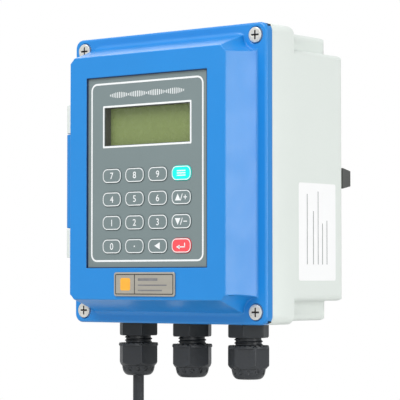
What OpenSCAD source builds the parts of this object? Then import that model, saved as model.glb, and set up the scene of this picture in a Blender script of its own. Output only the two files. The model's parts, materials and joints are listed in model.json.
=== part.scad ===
// Wall-mounted ultrasonic flow meter: a hinged enclosure with a keypad, a display and three cable glands.
// Lengths are in millimetres. The origin is the centre of the wall bracket's wall face.
// X points to the reader's right, Y points into the wall, so the meter lies at negative Y, and Z points up.

/* [Enclosure] */
// Width of the enclosure across its sides
body_w = 165; // [160:0.2:182]
// Height of the enclosure
body_h = 194; // [190:0.5:215]
// Depth of the base housing, from its back to the parting plane
base_d = 80; // [76:0.5:95]
// Wall of the base housing
base_wall = 4.6; // [4.2:0.1:5]
// Corner radius of the lid and of the collar behind it
corner_r = 6; // [4:0.5:8]
// Depth of the full-size collar at the front of the base housing
collar_d = 23.4; // [22.8:0.1:28]
// Step from the collar down to the rear body, at top and bottom
collar_step = 1.8; // [1:0.1:2.4]
// Width of the corner notches behind the collar
notch_w = 14.3; // [12:0.1:15]
// Height of the corner notches, from the collar's top or bottom
notch_h = 15; // [13:0.5:17]
// Rounding of the edges round the back
back_r = 5; // [3:0.5:6]

/* [Lid] */
// Thickness of the lid's flat rim
rim_t = 6.2; // [5.6:0.1:7]
// Gap between the lid and the base housing, which the gasket fills
lid_gap = 0.3; // [0.2:0.05:0.4]
// Bevel round the front edge of the rim
rim_bevel = 1; // [0.5:0.1:1.5]
// Height of the raised front above the rim
front_h = 22.5; // [21:0.5:26]
// Distance from the lid's sides to the foot of the raised front
foot_inset_x = 7; // [6:0.1:8]
// Distance from the lid's top and bottom to the foot of the raised front
foot_inset_z = 7.4; // [6.5:0.1:8.5]
// Distance from the lid's sides to the front face
face_inset_x = 15.9; // [14.5:0.1:17]
// Distance from the lid's top and bottom to the front face
face_inset_z = 15.8; // [14.5:0.1:17]
// Wall of the lid
lid_wall = 3.2; // [2.8:0.1:3.6]
// Radius of the conical screw wells at the rim
well_r = 9.5; // [8.5:0.1:10.5]
// Radius of the conical screw wells at the front face
well_face_r = 13; // [11:0.1:14]

/* [Keypad] */
// Width of the recessed keypad panel
panel_w = 103.4; // [100:0.1:107]
// Height of the recessed keypad panel
panel_h = 127; // [124:0.5:130]
// Height of the panel's centre above the lid's centre
panel_z = 3.3; // [2:0.1:5]
// Depth of the panel's recess
panel_recess = 1.5; // [1:0.1:2]
// Thickness of the printed film
film_t = 0.6; // [0.4:0.1:0.8]
// Width of a key
key_w = 16.2; // [15:0.1:17]
// Height of a key
key_h = 9.5; // [9:0.1:11]
// Corner radius of a key
key_r = 4; // [2:0.1:4.4]
// Distance between key columns
key_pitch_x = 19.9; // [19:0.1:21]
// Distance between key rows
key_pitch_z = 15.6; // [14:0.1:16]
// Height of the top key row above the lid's centre
key_row_z = 0.8; // [0:0.1:2]
// Travel of a key
key_travel = 0.4; // [0.3:0.05:0.6]
// Height of a key above the film
key_proud = 0.5; // [0.4:0.1:0.8]

/* [Display] */
// Width of the display window
win_w = 73.4; // [70:0.2:76]
// Height of the display window
win_h = 25.4; // [24:0.2:27]
// Height of the window's centre above the lid's centre
win_z = 33.6; // [32:0.1:36]
// Thickness of the clear window
lens_t = 1.5; // [1:0.1:2]
// Thickness of the display panel with its light guide
display_t = 6.5; // [5:0.1:7]

/* [Hinge] */
// Distance of the hinge axis from the side of the enclosure
hinge_out = 6.1; // [6:0.1:7]
// Radius of the hinge knuckles
knuckle_r = 5.5; // [5:0.1:5.6]
// Radius of the hinge pin
pin_r = 2.5; // [2:0.1:3]
// Length of the lid's knuckle
lid_knuckle_l = 64.8; // [50:0.2:80]
// Length of each of the base's two knuckles
base_knuckle_l = 19.6; // [14:0.2:24]

/* [Lid screws] */
// Distance of the lid screws from the sides
screw_inset_x = 8.7; // [8.2:0.1:9.2]
// Distance of the lid screws from the top and bottom
screw_inset_z = 8.2; // [7.6:0.1:8.6]
// Radius of a screw head
head_r = 5; // [4:0.1:5.2]
// Thickness of a screw head
head_t = 2.4; // [1.8:0.1:3]
// Radius of a screw shank
shank_r = 2.5; // [2:0.1:2.6]

/* [Cable glands] */
// Distance of the outer glands from the sides
gland_side = 34.9; // [32:0.1:38]
// Distance of the glands behind the front of the rim
gland_back = 26.5; // [24:0.2:29]
// Width across flats of the gland bodies and nuts
gland_af = 24; // [23:0.5:25]
// Radius of the gland thread
thread_r = 10; // [9.5:0.1:10.2]
// Height of the hexagon on the gland body
gland_hex_h = 9; // [7:0.5:11]
// Height of the hexagon on the gland nut
nut_hex_h = 15; // [13:0.5:16]
// Height of the dome below the nut's hexagon
nut_dome_h = 6.7; // [6:0.1:8]
// Radius of the opening in the sealing rings
seal_bore_r = 4.1; // [4.1:0.05:4.4]

/* [Wall bracket] */
// Depth of the wall bracket
bracket_d = 9; // [8:0.5:12]
// Height of the bracket at the housing
bracket_h = 14; // [12.5:0.5:18]
// Height of the bracket at the wall
bracket_wall_h = 10.4; // [10:0.1:12]
// Thickness of the bracket's walls
bracket_t = 1.8; // [1.2:0.1:2]
// Distance between the two wall holes
wall_hole_pitch = 100; // [90:1:120]
// Radius of the wall holes
wall_hole_r = 2.25; // [2:0.25:2.5]

/* [Main board] */
// Distance of the main board from the enclosure's sides
board_side = 21.5; // [19.7:0.1:25]
// Distance of the main board from the enclosure's top
board_top = 20; // [18:0.5:24]
// Distance of the main board from the enclosure's bottom
board_bottom = 28; // [26:0.5:32]
// Thickness of the circuit boards
board_t = 1.6; // [1:0.1:2]
// Height of the board standoffs
standoff_h = 8; // [6:0.5:10]

/* [Lead] */
// Diameter of the lead
cord_d = 7.6; // [7:0.1:7.6]

/* [Hidden] */
$fn = 48;

// Overrun of the cuts, the least radius, and the clearances that every fit is made from
over = 1;
least_r = 0.5;
seat_gap = 0.05;
slide_gap = 0.3;
film_gap = 0.1;

// Planes from the wall forward
back_y = -bracket_d;
floor_y = back_y - base_wall;
parting_y = back_y - base_d;
collar_y = parting_y + collar_d;
lid_back_y = parting_y - lid_gap;
rim_y = lid_back_y - rim_t;
face_y = rim_y - front_h;
film_back_y = face_y + panel_recess + film_t;

// Half sizes and places that several pieces share
half_w = body_w / 2;
half_h = body_h / 2;
rear_h = body_h - 2 * collar_step;
tall_w = body_w - 2 * notch_w;
wide_h = body_h - 2 * notch_h;
screw_x = half_w - screw_inset_x;
screw_z = half_h - screw_inset_z;

// Base housing
boss_r = 10.2;
boss_hole_r = 3.3;
boss_hole_d = 13;
notch_r = 4;
notch_fillet = 3.5;
pad_h = 3;
pad_r = 6;
standoff_r = 4;

// Gasket and its groove
gasket_inset = 1.3;
gasket_w = 2;
gasket_corner_r = 8;
groove_d = 2;

// Hinge
knuckle_gap = 0.7;
pin_overhang = 0.8;
hinge_x = -half_w - hinge_out;
hinge_y = parting_y - lid_gap / 2;
knuckle_z = lid_knuckle_l / 2 + knuckle_gap + base_knuckle_l / 2;
arm_t = knuckle_r - lid_gap / 2;

// Lid screws and their inserts
head_gap = 0.6;
head_proud = 0.8;
screw_reach = 4;
insert_l = 8;
insert_bore_r = 2.1;
cross_length_share = 1.2;
cross_width_share = 0.22;
recess_floor_y = rim_y - head_proud + head_t;

// Keys, domes and board under the film
flange_t = 1;
flange_w = 0.9;
dome_gap = 0.05;
dome_h = 0.35;
dome_r = 4;
dome_top_r = 2;
keypad_board_t = 1;
keypad_margin = 1.9;
keypad_floor_t = 1.5;
flange_y = film_back_y + film_gap;
dome_y = flange_y + flange_t + key_travel + dome_gap;
keypad_floor_y = dome_y + dome_h + keypad_board_t;
cavity_y = keypad_floor_y + keypad_floor_t;
keypad_w = 3 * key_pitch_x + key_w + 2 * keypad_margin;
keypad_h = 3 * key_pitch_z + key_h + 2 * keypad_margin;
keypad_z = key_row_z - 1.5 * key_pitch_z;

// Display
lens_lip = 2;
bezel_lip = 1;
bezel_rim = 4;
bezel_wall = 1.8;
post_r = 3;
post_inset = 4;
display_margin_x = 13.5;
display_margin_z = 7;
display_board_w = win_w + 2 * display_margin_x;
display_board_h = win_h + 2 * display_margin_z;
post_x = display_board_w / 2 - post_inset;
post_z = display_board_h / 2 - post_inset;
display_board_y = cavity_y + bezel_lip + display_t;

// Front plate
plate_w = 52.2;
plate_h = 15.8;
plate_r = 1.8;
plate_t = 1;
plate_x = 0;
plate_z = -71;

// Small screws
small_r = 1.5;
small_head_r = 2.8;
small_head_t = 1.8;
small_l = 6;
bracket_screw_r = 2;
bracket_head_r = 4;
bracket_head_t = 2.6;

// Wall bracket
bracket_boss_r = 4.6;
bracket_boss_x = 30;
bracket_screw_in = 6.5;
bracket_inset = 1;
wall_head_r = 4.2;

// Cable glands
gland_pad_r = 14.6;
locknut_h = 5;
stub_over = 2;
gland_bore_r = 6.3;
sleeve_r = 9.2;
sleeve_l = 12.5;
sleeve_cup_r = 8.5;
sleeve_cup_l = 6;
nut_gap = 5.5;
nut_mouth_r = 5.2;
nut_rim_r = 6.8;
nut_shoulder = 0.8;
nut_lip = 2.2;
nut_flange_h = 1.6;
nut_flange_in = 0.4;
nut_bevel = 2.4;
seal_l = 15;
seal_taper = 4.5;
seal_nose = 2;
dome_steps = 6;
hex_bevel = 0.9;
gland_y = rim_y + gland_back;
gland_x = half_w - gland_side;
gland_xs = [-gland_x, 0, gland_x];
gland_bottom_z = -half_h;
gland_shelf_z = -rear_h / 2 + base_wall;
sleeve_end_z = gland_bottom_z - gland_hex_h - sleeve_l;
nut_top_z = gland_bottom_z - gland_hex_h - nut_gap;
nut_hex_z = nut_top_z - nut_hex_h;
nut_end_z = nut_hex_z - nut_dome_h;
seal_end_z = sleeve_end_z + sleeve_cup_l - seal_l;

// Main board: its size, the height of its centre, its faces, its edges and its screws
board_w = body_w - 2 * board_side;
board_h = body_h - board_top - board_bottom;
board_z = (board_bottom - board_top) / 2;
board_hole_inset = 4;
board_back_y = floor_y - standoff_h;
board_y = board_back_y - board_t;
board_x1 = board_w / 2;
board_z0 = board_z - board_h / 2;
board_z1 = board_z + board_h / 2;
board_holes = [for (sx = [-1, 1], sz = [-1, 1])
    [sx * (board_w / 2 - board_hole_inset), board_z + sz * (board_h / 2 - board_hole_inset)]];

// Parts on the board: each size is width, height and depth, and each place is x and z from the board's edges
power_size = [52, 36, 22];
power_at = [board_x1 - 33, board_z1 - 25];
power_r = 2;
power_bevel = 1;
fuse_size = [26, 9, 4];
fuse_at = [25 - board_x1, board_z0 + 37];
fuse_l = 20;
fuse_r = 2.6;
fuse_cap_l = 5;
terminal_z = board_z0 + 14;
terminal_pitch = 9.5;
terminal_h = 11;
terminal_t = 14;
terminal_hole_r = 2.4;
terminal_sunk = 3;
terminal_x = 17 - board_x1;
entry_share = 0.75;
wire_in = 1.5;
signal_pitch = 5;
signal_count = 6;
signal_h = 8;
signal_t = 11;
signal_hole_r = 1.8;
signal_xs = [board_x1 - 48, board_x1 - 17];
relay_size = [15.5, 19, 15.5];
relay_z = board_z0 + 41;
relay_xs = [board_x1 - 59, board_x1 - 39, board_x1 - 19];
capacitor_bevel = 0.8;
capacitor_r = 5;
capacitor_h = 16;
capacitors_at = [[board_x1 - 73, board_z1 - 15], [board_x1 - 73, board_z1 - 28],
                 [board_x1 - 86, board_z1 - 15]];
chip_sizes = [[14, 14, 1.6], [10, 7.5, 2.3], [10, 7.5, 2.3], [6, 8, 2.6]];
chips_at = [[board_x1 - 77, board_z + 2], [board_x1 - 51, board_z + 4], [board_x1 - 29, board_z + 4],
            [23 - board_x1, board_z - 8]];

// Ribbon cable with its plug on the board
ribbon_w = 25;
ribbon_t = 1.2;
ribbon_x = 13 - board_x1;
ribbon_z = board_z1 - 39;
ribbon_r = 8;
ribbon_run = 13.8;
ribbon_stop = 2.5;
ribbon_plug = [8, 32, 11];
ribbon_side = 9;
ribbon_edge_x = half_w - base_wall - ribbon_side;

// Lead: straight down from the gland, round into the coil, and out again to the plug. Each point is its
// distance forward of the gland's axis, as a negative y, and its height from the housing's bottom.
lead_x = gland_xs[0];
coil_layer = 8.2;
tail_x = lead_x - coil_layer;
lead_start_z = gland_bottom_z - 9;
lead_offsets = [[0, -9], [0, -15], [0, -21], [0, -27], [0, -33], [0, -39], [0, -44], [0, -49], [0, -53.8],
                [-0.6, -60], [-2.4, -66], [-5.4, -71.6], [-9.4, -76.4], [-13.4, -80.4], [-17.2, -84.2]];
tail_offsets = [[-43, -145], [-43, -150], [-43, -156], [-43, -162], [-43, -167]];
lead_points = [for (p = lead_offsets) [lead_x, gland_y + p[0], gland_bottom_z + p[1]]];
tail_points = [for (p = tail_offsets) [tail_x, gland_y + p[0], gland_bottom_z + p[1]]];
coil_at = [gland_y + 11, gland_bottom_z - 131];
coil_out_r = 53;
coil_in_r = 32.5;
coil_start = 135;
coil_sweep = 900;
coil_extra = 45;
coil_climb = 180;
loop_rings = 24;
coil_sides = 6;
cord_sides = 10;

// Tie round the coil: the turns that it holds, counted as the angle wound
tie_low_turn = 1035;
tie_high_turn = 1755;
tie_gap = 0.3;
tie_sag = 0.7;
tie_t = 1.2;
tie_w = 9;

// Stripped end of the lead inside the housing
inner_end_z = gland_bottom_z + 19;
wire_r = 1.2;
wire_ring_r = 1.5;
wire_sides = 6;
wire_steps = 12;
wire_rise = 12;
wire_dip = 14;

// Plug: strain relief, shoulder, grip, face, blades and earth pin
relief_h = 20;
relief_r = 5;
relief_end_r = 7;
shoulder_h = 8;
grip_h = 18;
grip_r = 11.5;
grip_end_r = 12.5;
plug_face_h = 5;
plug_face_r = 13.5;
blade_w = 6.3;
blade_t = 1.5;
blade_l = 17.5;
blade_pitch = 12.7;
blade_y = -4;
earth_r = 2.4;
earth_l = 20.5;
earth_y = 7.9;
plug_y = tail_points[4][1];
plug_top_z = tail_points[4][2];
plug_end_z = plug_top_z - relief_h - shoulder_h - grip_h - plug_face_h;

// Flat shape with its corners rounded
module rounded_rect(w, h, r) {
    square([w - 2 * r, h], center = true);
    square([w, h - 2 * r], center = true);
    for (sx = [-1, 1], sz = [-1, 1])
        translate([sx * (w / 2 - r), sz * (h / 2 - r)])
            circle(r);
}

// The children at each lid screw, in the flat
module at_screws() {
    for (sx = [-1, 1], sz = [-1, 1])
        translate([sx * screw_x, sz * screw_z])
            children();
}

// A flat shape in X and Z, made solid from y forward by depth
module forward(y, depth) {
    translate([0, y, 0])
        rotate([90, 0, 0])
            linear_extrude(depth)
                children();
}

// A round bar from y forward, at x and z
module bar(x, z, y, length, r) {
    translate([x, y, z])
        rotate([90, 0, 0])
            cylinder(h = length, r = r);
}

// A box of the width, height and depth in size, standing forward from y
module block(x, z, y, size) {
    translate([x - size[0] / 2, y - size[2], z - size[1] / 2])
        cube([size[0], size[2], size[1]]);
}

// A rounded slab whose front edge is bevelled all round
module bevelled_slab(w, h, r, bevel, y, depth) {
    hull()
        for (sx = [-1, 1], sz = [-1, 1])
            translate([sx * (w / 2 - r), y, sz * (h / 2 - r)])
                rotate([90, 0, 0]) {
                    cylinder(h = depth - bevel, r = r);
                    cylinder(h = depth, r = r - bevel);
                }
}

// A hexagon bar upward from z, with its corners turned off at both ends
module hexagon(flats, z, h, bevel) {
    r = flats / 2 / cos(30);
    translate([0, 0, z])
        intersection() {
            cylinder(h = h, r = r, $fn = 6);
            rotate_extrude()
                polygon([[0, 0], [r - bevel, 0], [r, bevel], [r, h - hex_bevel], [r - hex_bevel, h], [0, h]]);
        }
}

// A pan-head screw: its head stands forward of y, and its shank reaches back by length
module screw(x, z, y, wide_r, head_h, r, length) {
    difference() {
        bar(x, z, y, head_h, wide_r);
        for (turn = [0, 90])
            translate([x, y - head_h, z])
                rotate([0, turn, 0])
                    cube([wide_r * cross_length_share, head_h, wide_r * cross_width_share], center = true);
    }
    bar(x, z, y + length, length, r);
}

// Point at share t of a smooth curve from a to d, drawn towards b and c
function curve(a, b, c, d, t) =
    let (s = 1 - t)
    s * s * s * a + 3 * s * s * t * b + 3 * s * t * t * c + t * t * t * d;

// A tube of straight sides along points, with flat ends
function unit(v) = v / norm(v);
function heading(p, i) = unit(p[min(i + 1, len(p) - 1)] - p[max(i - 1, 0)]);
function ring(at, t, r, sides) =
    let (u = unit([1, 0, 0] - t * t[0]), v = cross(t, u))
    [for (k = [0 : sides - 1]) at + r * (cos(360 * k / sides) * u + sin(360 * k / sides) * v)];
module tube(points, r, sides) {
    last = len(points) - 1;
    rings = [for (i = [0 : last]) each ring(points[i], heading(points, i), r, sides)];
    walls = [for (i = [0 : last - 1], k = [0 : sides - 1])
        let (a = i * sides + k, b = i * sides + (k + 1) % sides)
        each [[a, a + sides, b + sides], [a, b + sides, b]]];
    start = [for (k = [1 : sides - 2]) [0, k, k + 1]];
    end = [for (k = [1 : sides - 2]) [last * sides, last * sides + k + 1, last * sides + k]];
    polyhedron(rings, concat(walls, start, end));
}

// The hollow corners of the four notches, drawn in by inset
module notch_fillets(inset) {
    fillet = notch_fillet + inset / 2;
    for (mx = [0, 1], mz = [0, 1])
        mirror([mx, 0])
            mirror([0, mz])
                translate([tall_w / 2 - inset, wide_h / 2 - inset])
                    difference() {
                        translate([-over, -over])
                            square(fillet + over);
                        translate([fillet, fillet])
                            circle(fillet);
                    }
}

// Outline of the rear body with its four corner notches, drawn in by inset
module notched(inset) {
    r = max(notch_r - inset, least_r);
    rounded_rect(body_w - 2 * inset, wide_h - 2 * inset, r);
    rounded_rect(tall_w - 2 * inset, rear_h - 2 * inset, r);
    notch_fillets(inset);
}

// View of the rear body along an edge, with its back edges rounded: half is its half size
module rounded_back(half) {
    translate([-half, parting_y])
        square([2 * half, base_d - back_r]);
    translate([back_r - half, parting_y])
        square([2 * (half - back_r), base_d]);
    for (side = [-1, 1])
        translate([side * (half - back_r), back_y - back_r])
            circle(back_r);
}

// A block of the rear body with all its back edges rounded
module rear_block(w, h) {
    intersection() {
        forward(back_y, base_d)
            rounded_rect(w, h, notch_r);
        linear_extrude(body_h, center = true)
            rounded_back(w / 2);
        rotate([90, 0, 90])
            linear_extrude(body_w, center = true)
                mirror([1, -1])
                    rounded_back(h / 2);
    }
}

module base_outside() {
    rear_block(body_w, wide_h);
    rear_block(tall_w, rear_h);
    forward(back_y - back_r, base_d - back_r)
        notch_fillets(0);
    forward(collar_y, collar_d)
        rounded_rect(body_w, body_h, corner_r);
}

module base_inside() {
    shelf_y = collar_y - base_wall;
    forward(floor_y, floor_y - shelf_y)
        notched(base_wall);
    forward(shelf_y, shelf_y - parting_y + over)
        difference() {
            rounded_rect(body_w - 2 * base_wall, body_h - 2 * base_wall, corner_r);
            at_screws()
                circle(boss_r);
        }
}

module base_knuckles() {
    for (side = [-1, 1])
        translate([hinge_x, hinge_y, side * knuckle_z]) {
            cylinder(h = base_knuckle_l, r = knuckle_r, center = true);
            translate([0, lid_gap / 2, -base_knuckle_l / 2])
                cube([hinge_out + over, arm_t, base_knuckle_l]);
        }
}

module base_housing() {
    pad_depth = gland_shelf_z - gland_bottom_z;
    color([0.87, 0.9, 0.88])
        difference() {
            union() {
                difference() {
                    base_outside();
                    base_inside();
                }
                base_knuckles();
                for (x = gland_xs)
                    translate([x, gland_y, gland_bottom_z])
                        cylinder(h = pad_depth, r = gland_pad_r);
                for (at = board_holes)
                    bar(at[0], at[1], floor_y + over, standoff_h + over, standoff_r);
                for (side = [-1, 1])
                    bar(side * bracket_boss_x, 0, floor_y + over, pad_h + over, pad_r);
            }
            translate([hinge_x, hinge_y, 0])
                cylinder(h = body_h, r = pin_r + seat_gap, center = true);
            forward(parting_y + boss_hole_d, boss_hole_d + over)
                at_screws()
                    circle(boss_hole_r);
            for (x = gland_xs)
                translate([x, gland_y, gland_bottom_z - over])
                    cylinder(h = pad_depth + 2 * over, r = thread_r + slide_gap);
            for (at = board_holes)
                bar(at[0], at[1], board_back_y + small_l, small_l + over, small_r + seat_gap);
            for (side = [-1, 1])
                bar(side * bracket_boss_x, 0, back_y + over, base_wall + pad_h + 2 * over,
                    bracket_screw_r + seat_gap);
        }
}

// The bracket's bar of trapezoid section, drawn in by inset and carried forward by extra
module bracket_bar(length, inset, extra) {
    back_half = bracket_wall_h / 2 - inset;
    front_half = back_half + (bracket_h - bracket_wall_h) / 2 * (bracket_d + extra) / bracket_d;
    rotate([90, 0, 90])
        linear_extrude(length, center = true)
            polygon([[-inset, -back_half], [-inset, back_half],
                     [back_y - extra, front_half], [back_y - extra, -front_half]]);
}

module wall_bracket() {
    color([0.38, 0.38, 0.37])
        difference() {
            union() {
                difference() {
                    bracket_bar(body_w - 2 * bracket_inset, 0, 0);
                    bracket_bar(body_w - 2 * bracket_inset - 2 * bracket_t, bracket_t, over);
                }
                for (side = [-1, 1])
                    bar(side * bracket_boss_x, 0, -bracket_t / 2, bracket_d - bracket_t / 2, bracket_boss_r);
            }
            for (side = [-1, 1]) {
                bar(side * bracket_boss_x, 0, back_y + bracket_screw_in, bracket_screw_in + over,
                    bracket_screw_r + seat_gap);
                bar(side * wall_hole_pitch / 2, 0, over, bracket_d, wall_hole_r);
                bar(side * wall_hole_pitch / 2, 0, -bracket_t, bracket_d, wall_head_r);
            }
        }
}

module bracket_screws() {
    color([0.75, 0.75, 0.76])
        for (side = [-1, 1])
            screw(side * bracket_boss_x, 0, floor_y - pad_h, bracket_head_r, bracket_head_t,
                  bracket_screw_r, pad_h + base_wall + bracket_screw_in - slide_gap);
}

module screw_inserts() {
    color([0.8, 0.65, 0.3])
        forward(parting_y + boss_hole_d, insert_l)
            at_screws()
                difference() {
                    circle(boss_hole_r - seat_gap);
                    circle(insert_bore_r);
                }
}

module main_board() {
    color([0.1, 0.35, 0.2])
        difference() {
            block(0, board_z, board_back_y, [board_w, board_h, board_t]);
            for (at = board_holes)
                bar(at[0], at[1], board_back_y + over, board_t + 2 * over, small_r + slide_gap);
        }
}

module board_screws() {
    color([0.75, 0.75, 0.76])
        for (at = board_holes)
            screw(at[0], at[1], board_y, small_head_r, small_head_t, small_r, board_t + small_l - slide_gap);
}

module power_module() {
    color([0.12, 0.12, 0.13])
        translate([power_at[0], 0, power_at[1]])
            bevelled_slab(power_size[0], power_size[1], power_r, power_bevel, board_y, power_size[2]);
}

module fuse() {
    tube_y = board_y - fuse_size[2] - fuse_r / 2;
    color([0.15, 0.15, 0.16])
        difference() {
            union() {
                block(fuse_at[0], fuse_at[1], board_y, fuse_size);
                for (side = [-1, 1])
                    block(fuse_at[0] + side * (fuse_l - fuse_cap_l) / 2, fuse_at[1], board_y,
                          [fuse_cap_l, fuse_size[1], fuse_size[2] + fuse_r]);
            }
            translate([fuse_at[0], tube_y, fuse_at[1]])
                rotate([0, 90, 0])
                    cylinder(h = fuse_size[0] + over, r = fuse_r + seat_gap, center = true);
        }
    color([0.85, 0.87, 0.88])
        translate([fuse_at[0], tube_y, fuse_at[1]])
            rotate([0, 90, 0])
                cylinder(h = fuse_l, r = fuse_r, center = true);
}

// A terminal block of count poles, with screw holes in front and wire entries below
module terminals(x, count, pitch, height, depth, hole_r) {
    difference() {
        block(x, terminal_z, board_y, [count * pitch, height, depth]);
        for (k = [0 : count - 1])
            translate([x + (k - (count - 1) / 2) * pitch, board_y, terminal_z]) {
                bar(0, 0, terminal_sunk - depth, depth, hole_r);
                translate([0, -depth / 2, -height / 2 - over])
                    cylinder(h = wire_in + over, r = hole_r * entry_share);
            }
    }
}

module power_terminals() {
    color([0.2, 0.5, 0.3])
        terminals(terminal_x, 3, terminal_pitch, terminal_h, terminal_t, terminal_hole_r);
}

module signal_terminals() {
    color([0.2, 0.5, 0.3])
        for (x = signal_xs)
            terminals(x, signal_count, signal_pitch, signal_h, signal_t, signal_hole_r);
}

module relays() {
    color([0.2, 0.3, 0.55])
        for (x = relay_xs)
            block(x, relay_z, board_y, relay_size);
}

module capacitors() {
    color([0.2, 0.22, 0.25])
        for (at = capacitors_at)
            translate([at[0], board_y, at[1]])
                rotate([90, 0, 0]) {
                    cylinder(h = capacitor_h - capacitor_bevel, r = capacitor_r);
                    translate([0, 0, capacitor_h - capacitor_bevel])
                        cylinder(h = capacitor_bevel, r1 = capacitor_r, r2 = capacitor_r - capacitor_bevel);
                }
}

module board_chips() {
    color([0.1, 0.1, 0.11])
        for (k = [0 : len(chips_at) - 1])
            block(chips_at[k][0], chips_at[k][1], board_y, chip_sizes[k]);
}

// Quarter of a bent strip round a centre, in the quarter that quarter_x and quarter_y point to
module bend(centre, quarter_x, quarter_y) {
    reach = ribbon_r + over;
    translate(centre)
        intersection() {
            difference() {
                circle(ribbon_r + ribbon_t / 2);
                circle(ribbon_r - ribbon_t / 2);
            }
            translate([quarter_x * reach / 2, quarter_y * reach / 2])
                square(reach, center = true);
        }
}

// Flat cable seen along Z: forward from its plug, towards the hinge side, and forward again
module ribbon_path() {
    turn_y = board_y - ribbon_plug[2] - ribbon_run;
    mid_y = turn_y - ribbon_r;
    last_y = mid_y - ribbon_r;
    end_y = parting_y + ribbon_stop;
    first_x = ribbon_x - ribbon_r;
    second_x = ribbon_r - ribbon_edge_x;
    translate([ribbon_x - ribbon_t / 2, turn_y])
        square([ribbon_t, ribbon_run]);
    bend([first_x, turn_y], 1, -1);
    translate([second_x, mid_y - ribbon_t / 2])
        square([first_x - second_x, ribbon_t]);
    bend([second_x, last_y], -1, 1);
    translate([-ribbon_edge_x - ribbon_t / 2, end_y])
        square([ribbon_t, last_y - end_y]);
}

module ribbon_cable() {
    color([0.6, 0.6, 0.62]) {
        translate([0, 0, ribbon_z - ribbon_w / 2])
            linear_extrude(ribbon_w)
                ribbon_path();
        block(ribbon_x, ribbon_z, board_y, ribbon_plug);
    }
}

module mains_wires() {
    poles = [-terminal_pitch, 0, terminal_pitch];
    angles = [210, 90, 330];
    entry_z = terminal_z - terminal_h / 2 + wire_in - seat_gap;
    rise = [0, 0, wire_rise];
    dip = [0, 0, wire_dip];
    color([0.16, 0.17, 0.19])
        translate([lead_x, gland_y, lead_start_z])
            cylinder(h = inner_end_z - lead_start_z, r = cord_d / 2);
    color([0.5, 0.3, 0.2])
        for (k = [0 : 2]) {
            from = [lead_x, gland_y, inner_end_z] + wire_ring_r * [cos(angles[k]), sin(angles[k]), 0];
            to = [terminal_x + poles[k], board_y - terminal_t / 2, entry_z];
            tube([for (i = [0 : wire_steps]) curve(from, from + rise, to - dip, to, i / wire_steps)],
                 wire_r, wire_sides);
        }
}

module gland_bodies(places) {
    stub_z = gland_shelf_z + locknut_h + stub_over;
    color([0.15, 0.16, 0.18])
        for (x = places)
            translate([x, gland_y, 0])
                difference() {
                    union() {
                        hexagon(gland_af, gland_bottom_z - gland_hex_h, gland_hex_h, hex_bevel);
                        translate([0, 0, gland_bottom_z - over])
                            cylinder(h = stub_z - gland_bottom_z + over, r = thread_r);
                        translate([0, 0, sleeve_end_z])
                            cylinder(h = sleeve_l + over, r = sleeve_r);
                    }
                    translate([0, 0, sleeve_end_z - over])
                        cylinder(h = stub_z - sleeve_end_z + 2 * over, r = gland_bore_r);
                    translate([0, 0, sleeve_end_z - over])
                        cylinder(h = sleeve_cup_l + over, r = sleeve_cup_r);
                }
}

module gland_locknuts() {
    color([0.15, 0.16, 0.18])
        for (x = gland_xs)
            translate([x, gland_y, 0])
                difference() {
                    hexagon(gland_af, gland_shelf_z, locknut_h, hex_bevel);
                    translate([0, 0, gland_shelf_z - over])
                        cylinder(h = locknut_h + 2 * over, r = thread_r + seat_gap);
                }
}

module gland_seals() {
    seal_r = sleeve_cup_r - slide_gap;
    color([0.25, 0.25, 0.27])
        for (x = gland_xs)
            translate([x, gland_y, seal_end_z])
                difference() {
                    union() {
                        cylinder(h = seal_taper, r1 = seal_r - seal_nose, r2 = seal_r);
                        translate([0, 0, seal_taper])
                            cylinder(h = seal_l - seal_taper, r = seal_r);
                    }
                    translate([0, 0, -over])
                        cylinder(h = seal_l + 2 * over, r = seal_bore_r);
                }
}

// A gland nut: a flanged hexagon with a dome below it, hollow for the sleeve and the seal
module gland_nut(x) {
    shoulder_r = gland_af / 2 - nut_shoulder;
    flange_r = gland_af / 2 / cos(30) - nut_flange_in;
    cup_r = sleeve_cup_r + seat_gap;
    sleeve_space_z = sleeve_end_z - over;
    top = nut_dome_h + over;
    profile = [for (i = [0 : dome_steps])
        let (a = 90 * i / dome_steps)
        [nut_rim_r + (shoulder_r - nut_rim_r) * sin(a), nut_dome_h * (1 - cos(a))]];
    color([0.15, 0.16, 0.18])
        translate([x, gland_y, 0])
            difference() {
                union() {
                    hexagon(gland_af, nut_hex_z, nut_hex_h, nut_bevel);
                    translate([0, 0, nut_top_z - nut_flange_h])
                        cylinder(h = nut_flange_h, r = flange_r);
                    translate([0, 0, nut_end_z])
                        rotate_extrude()
                            polygon(concat([[0, 0]], profile, [[shoulder_r, top], [0, top]]));
                }
                translate([0, 0, nut_end_z])
                    rotate_extrude()
                        polygon([[0, -over], [nut_mouth_r, -over], [nut_mouth_r, nut_lip],
                                 [cup_r, nut_dome_h], [cup_r, nut_dome_h + nut_hex_h],
                                 [0, nut_dome_h + nut_hex_h]]);
                translate([0, 0, sleeve_space_z])
                    cylinder(h = nut_top_z - sleeve_space_z + over, r = sleeve_r + slide_gap);
            }
}

module hinge_pin() {
    color([0.7, 0.71, 0.73])
        translate([hinge_x, hinge_y, 0])
            cylinder(h = 2 * knuckle_z + base_knuckle_l + 2 * pin_overhang, r = pin_r, center = true);
}

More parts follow.
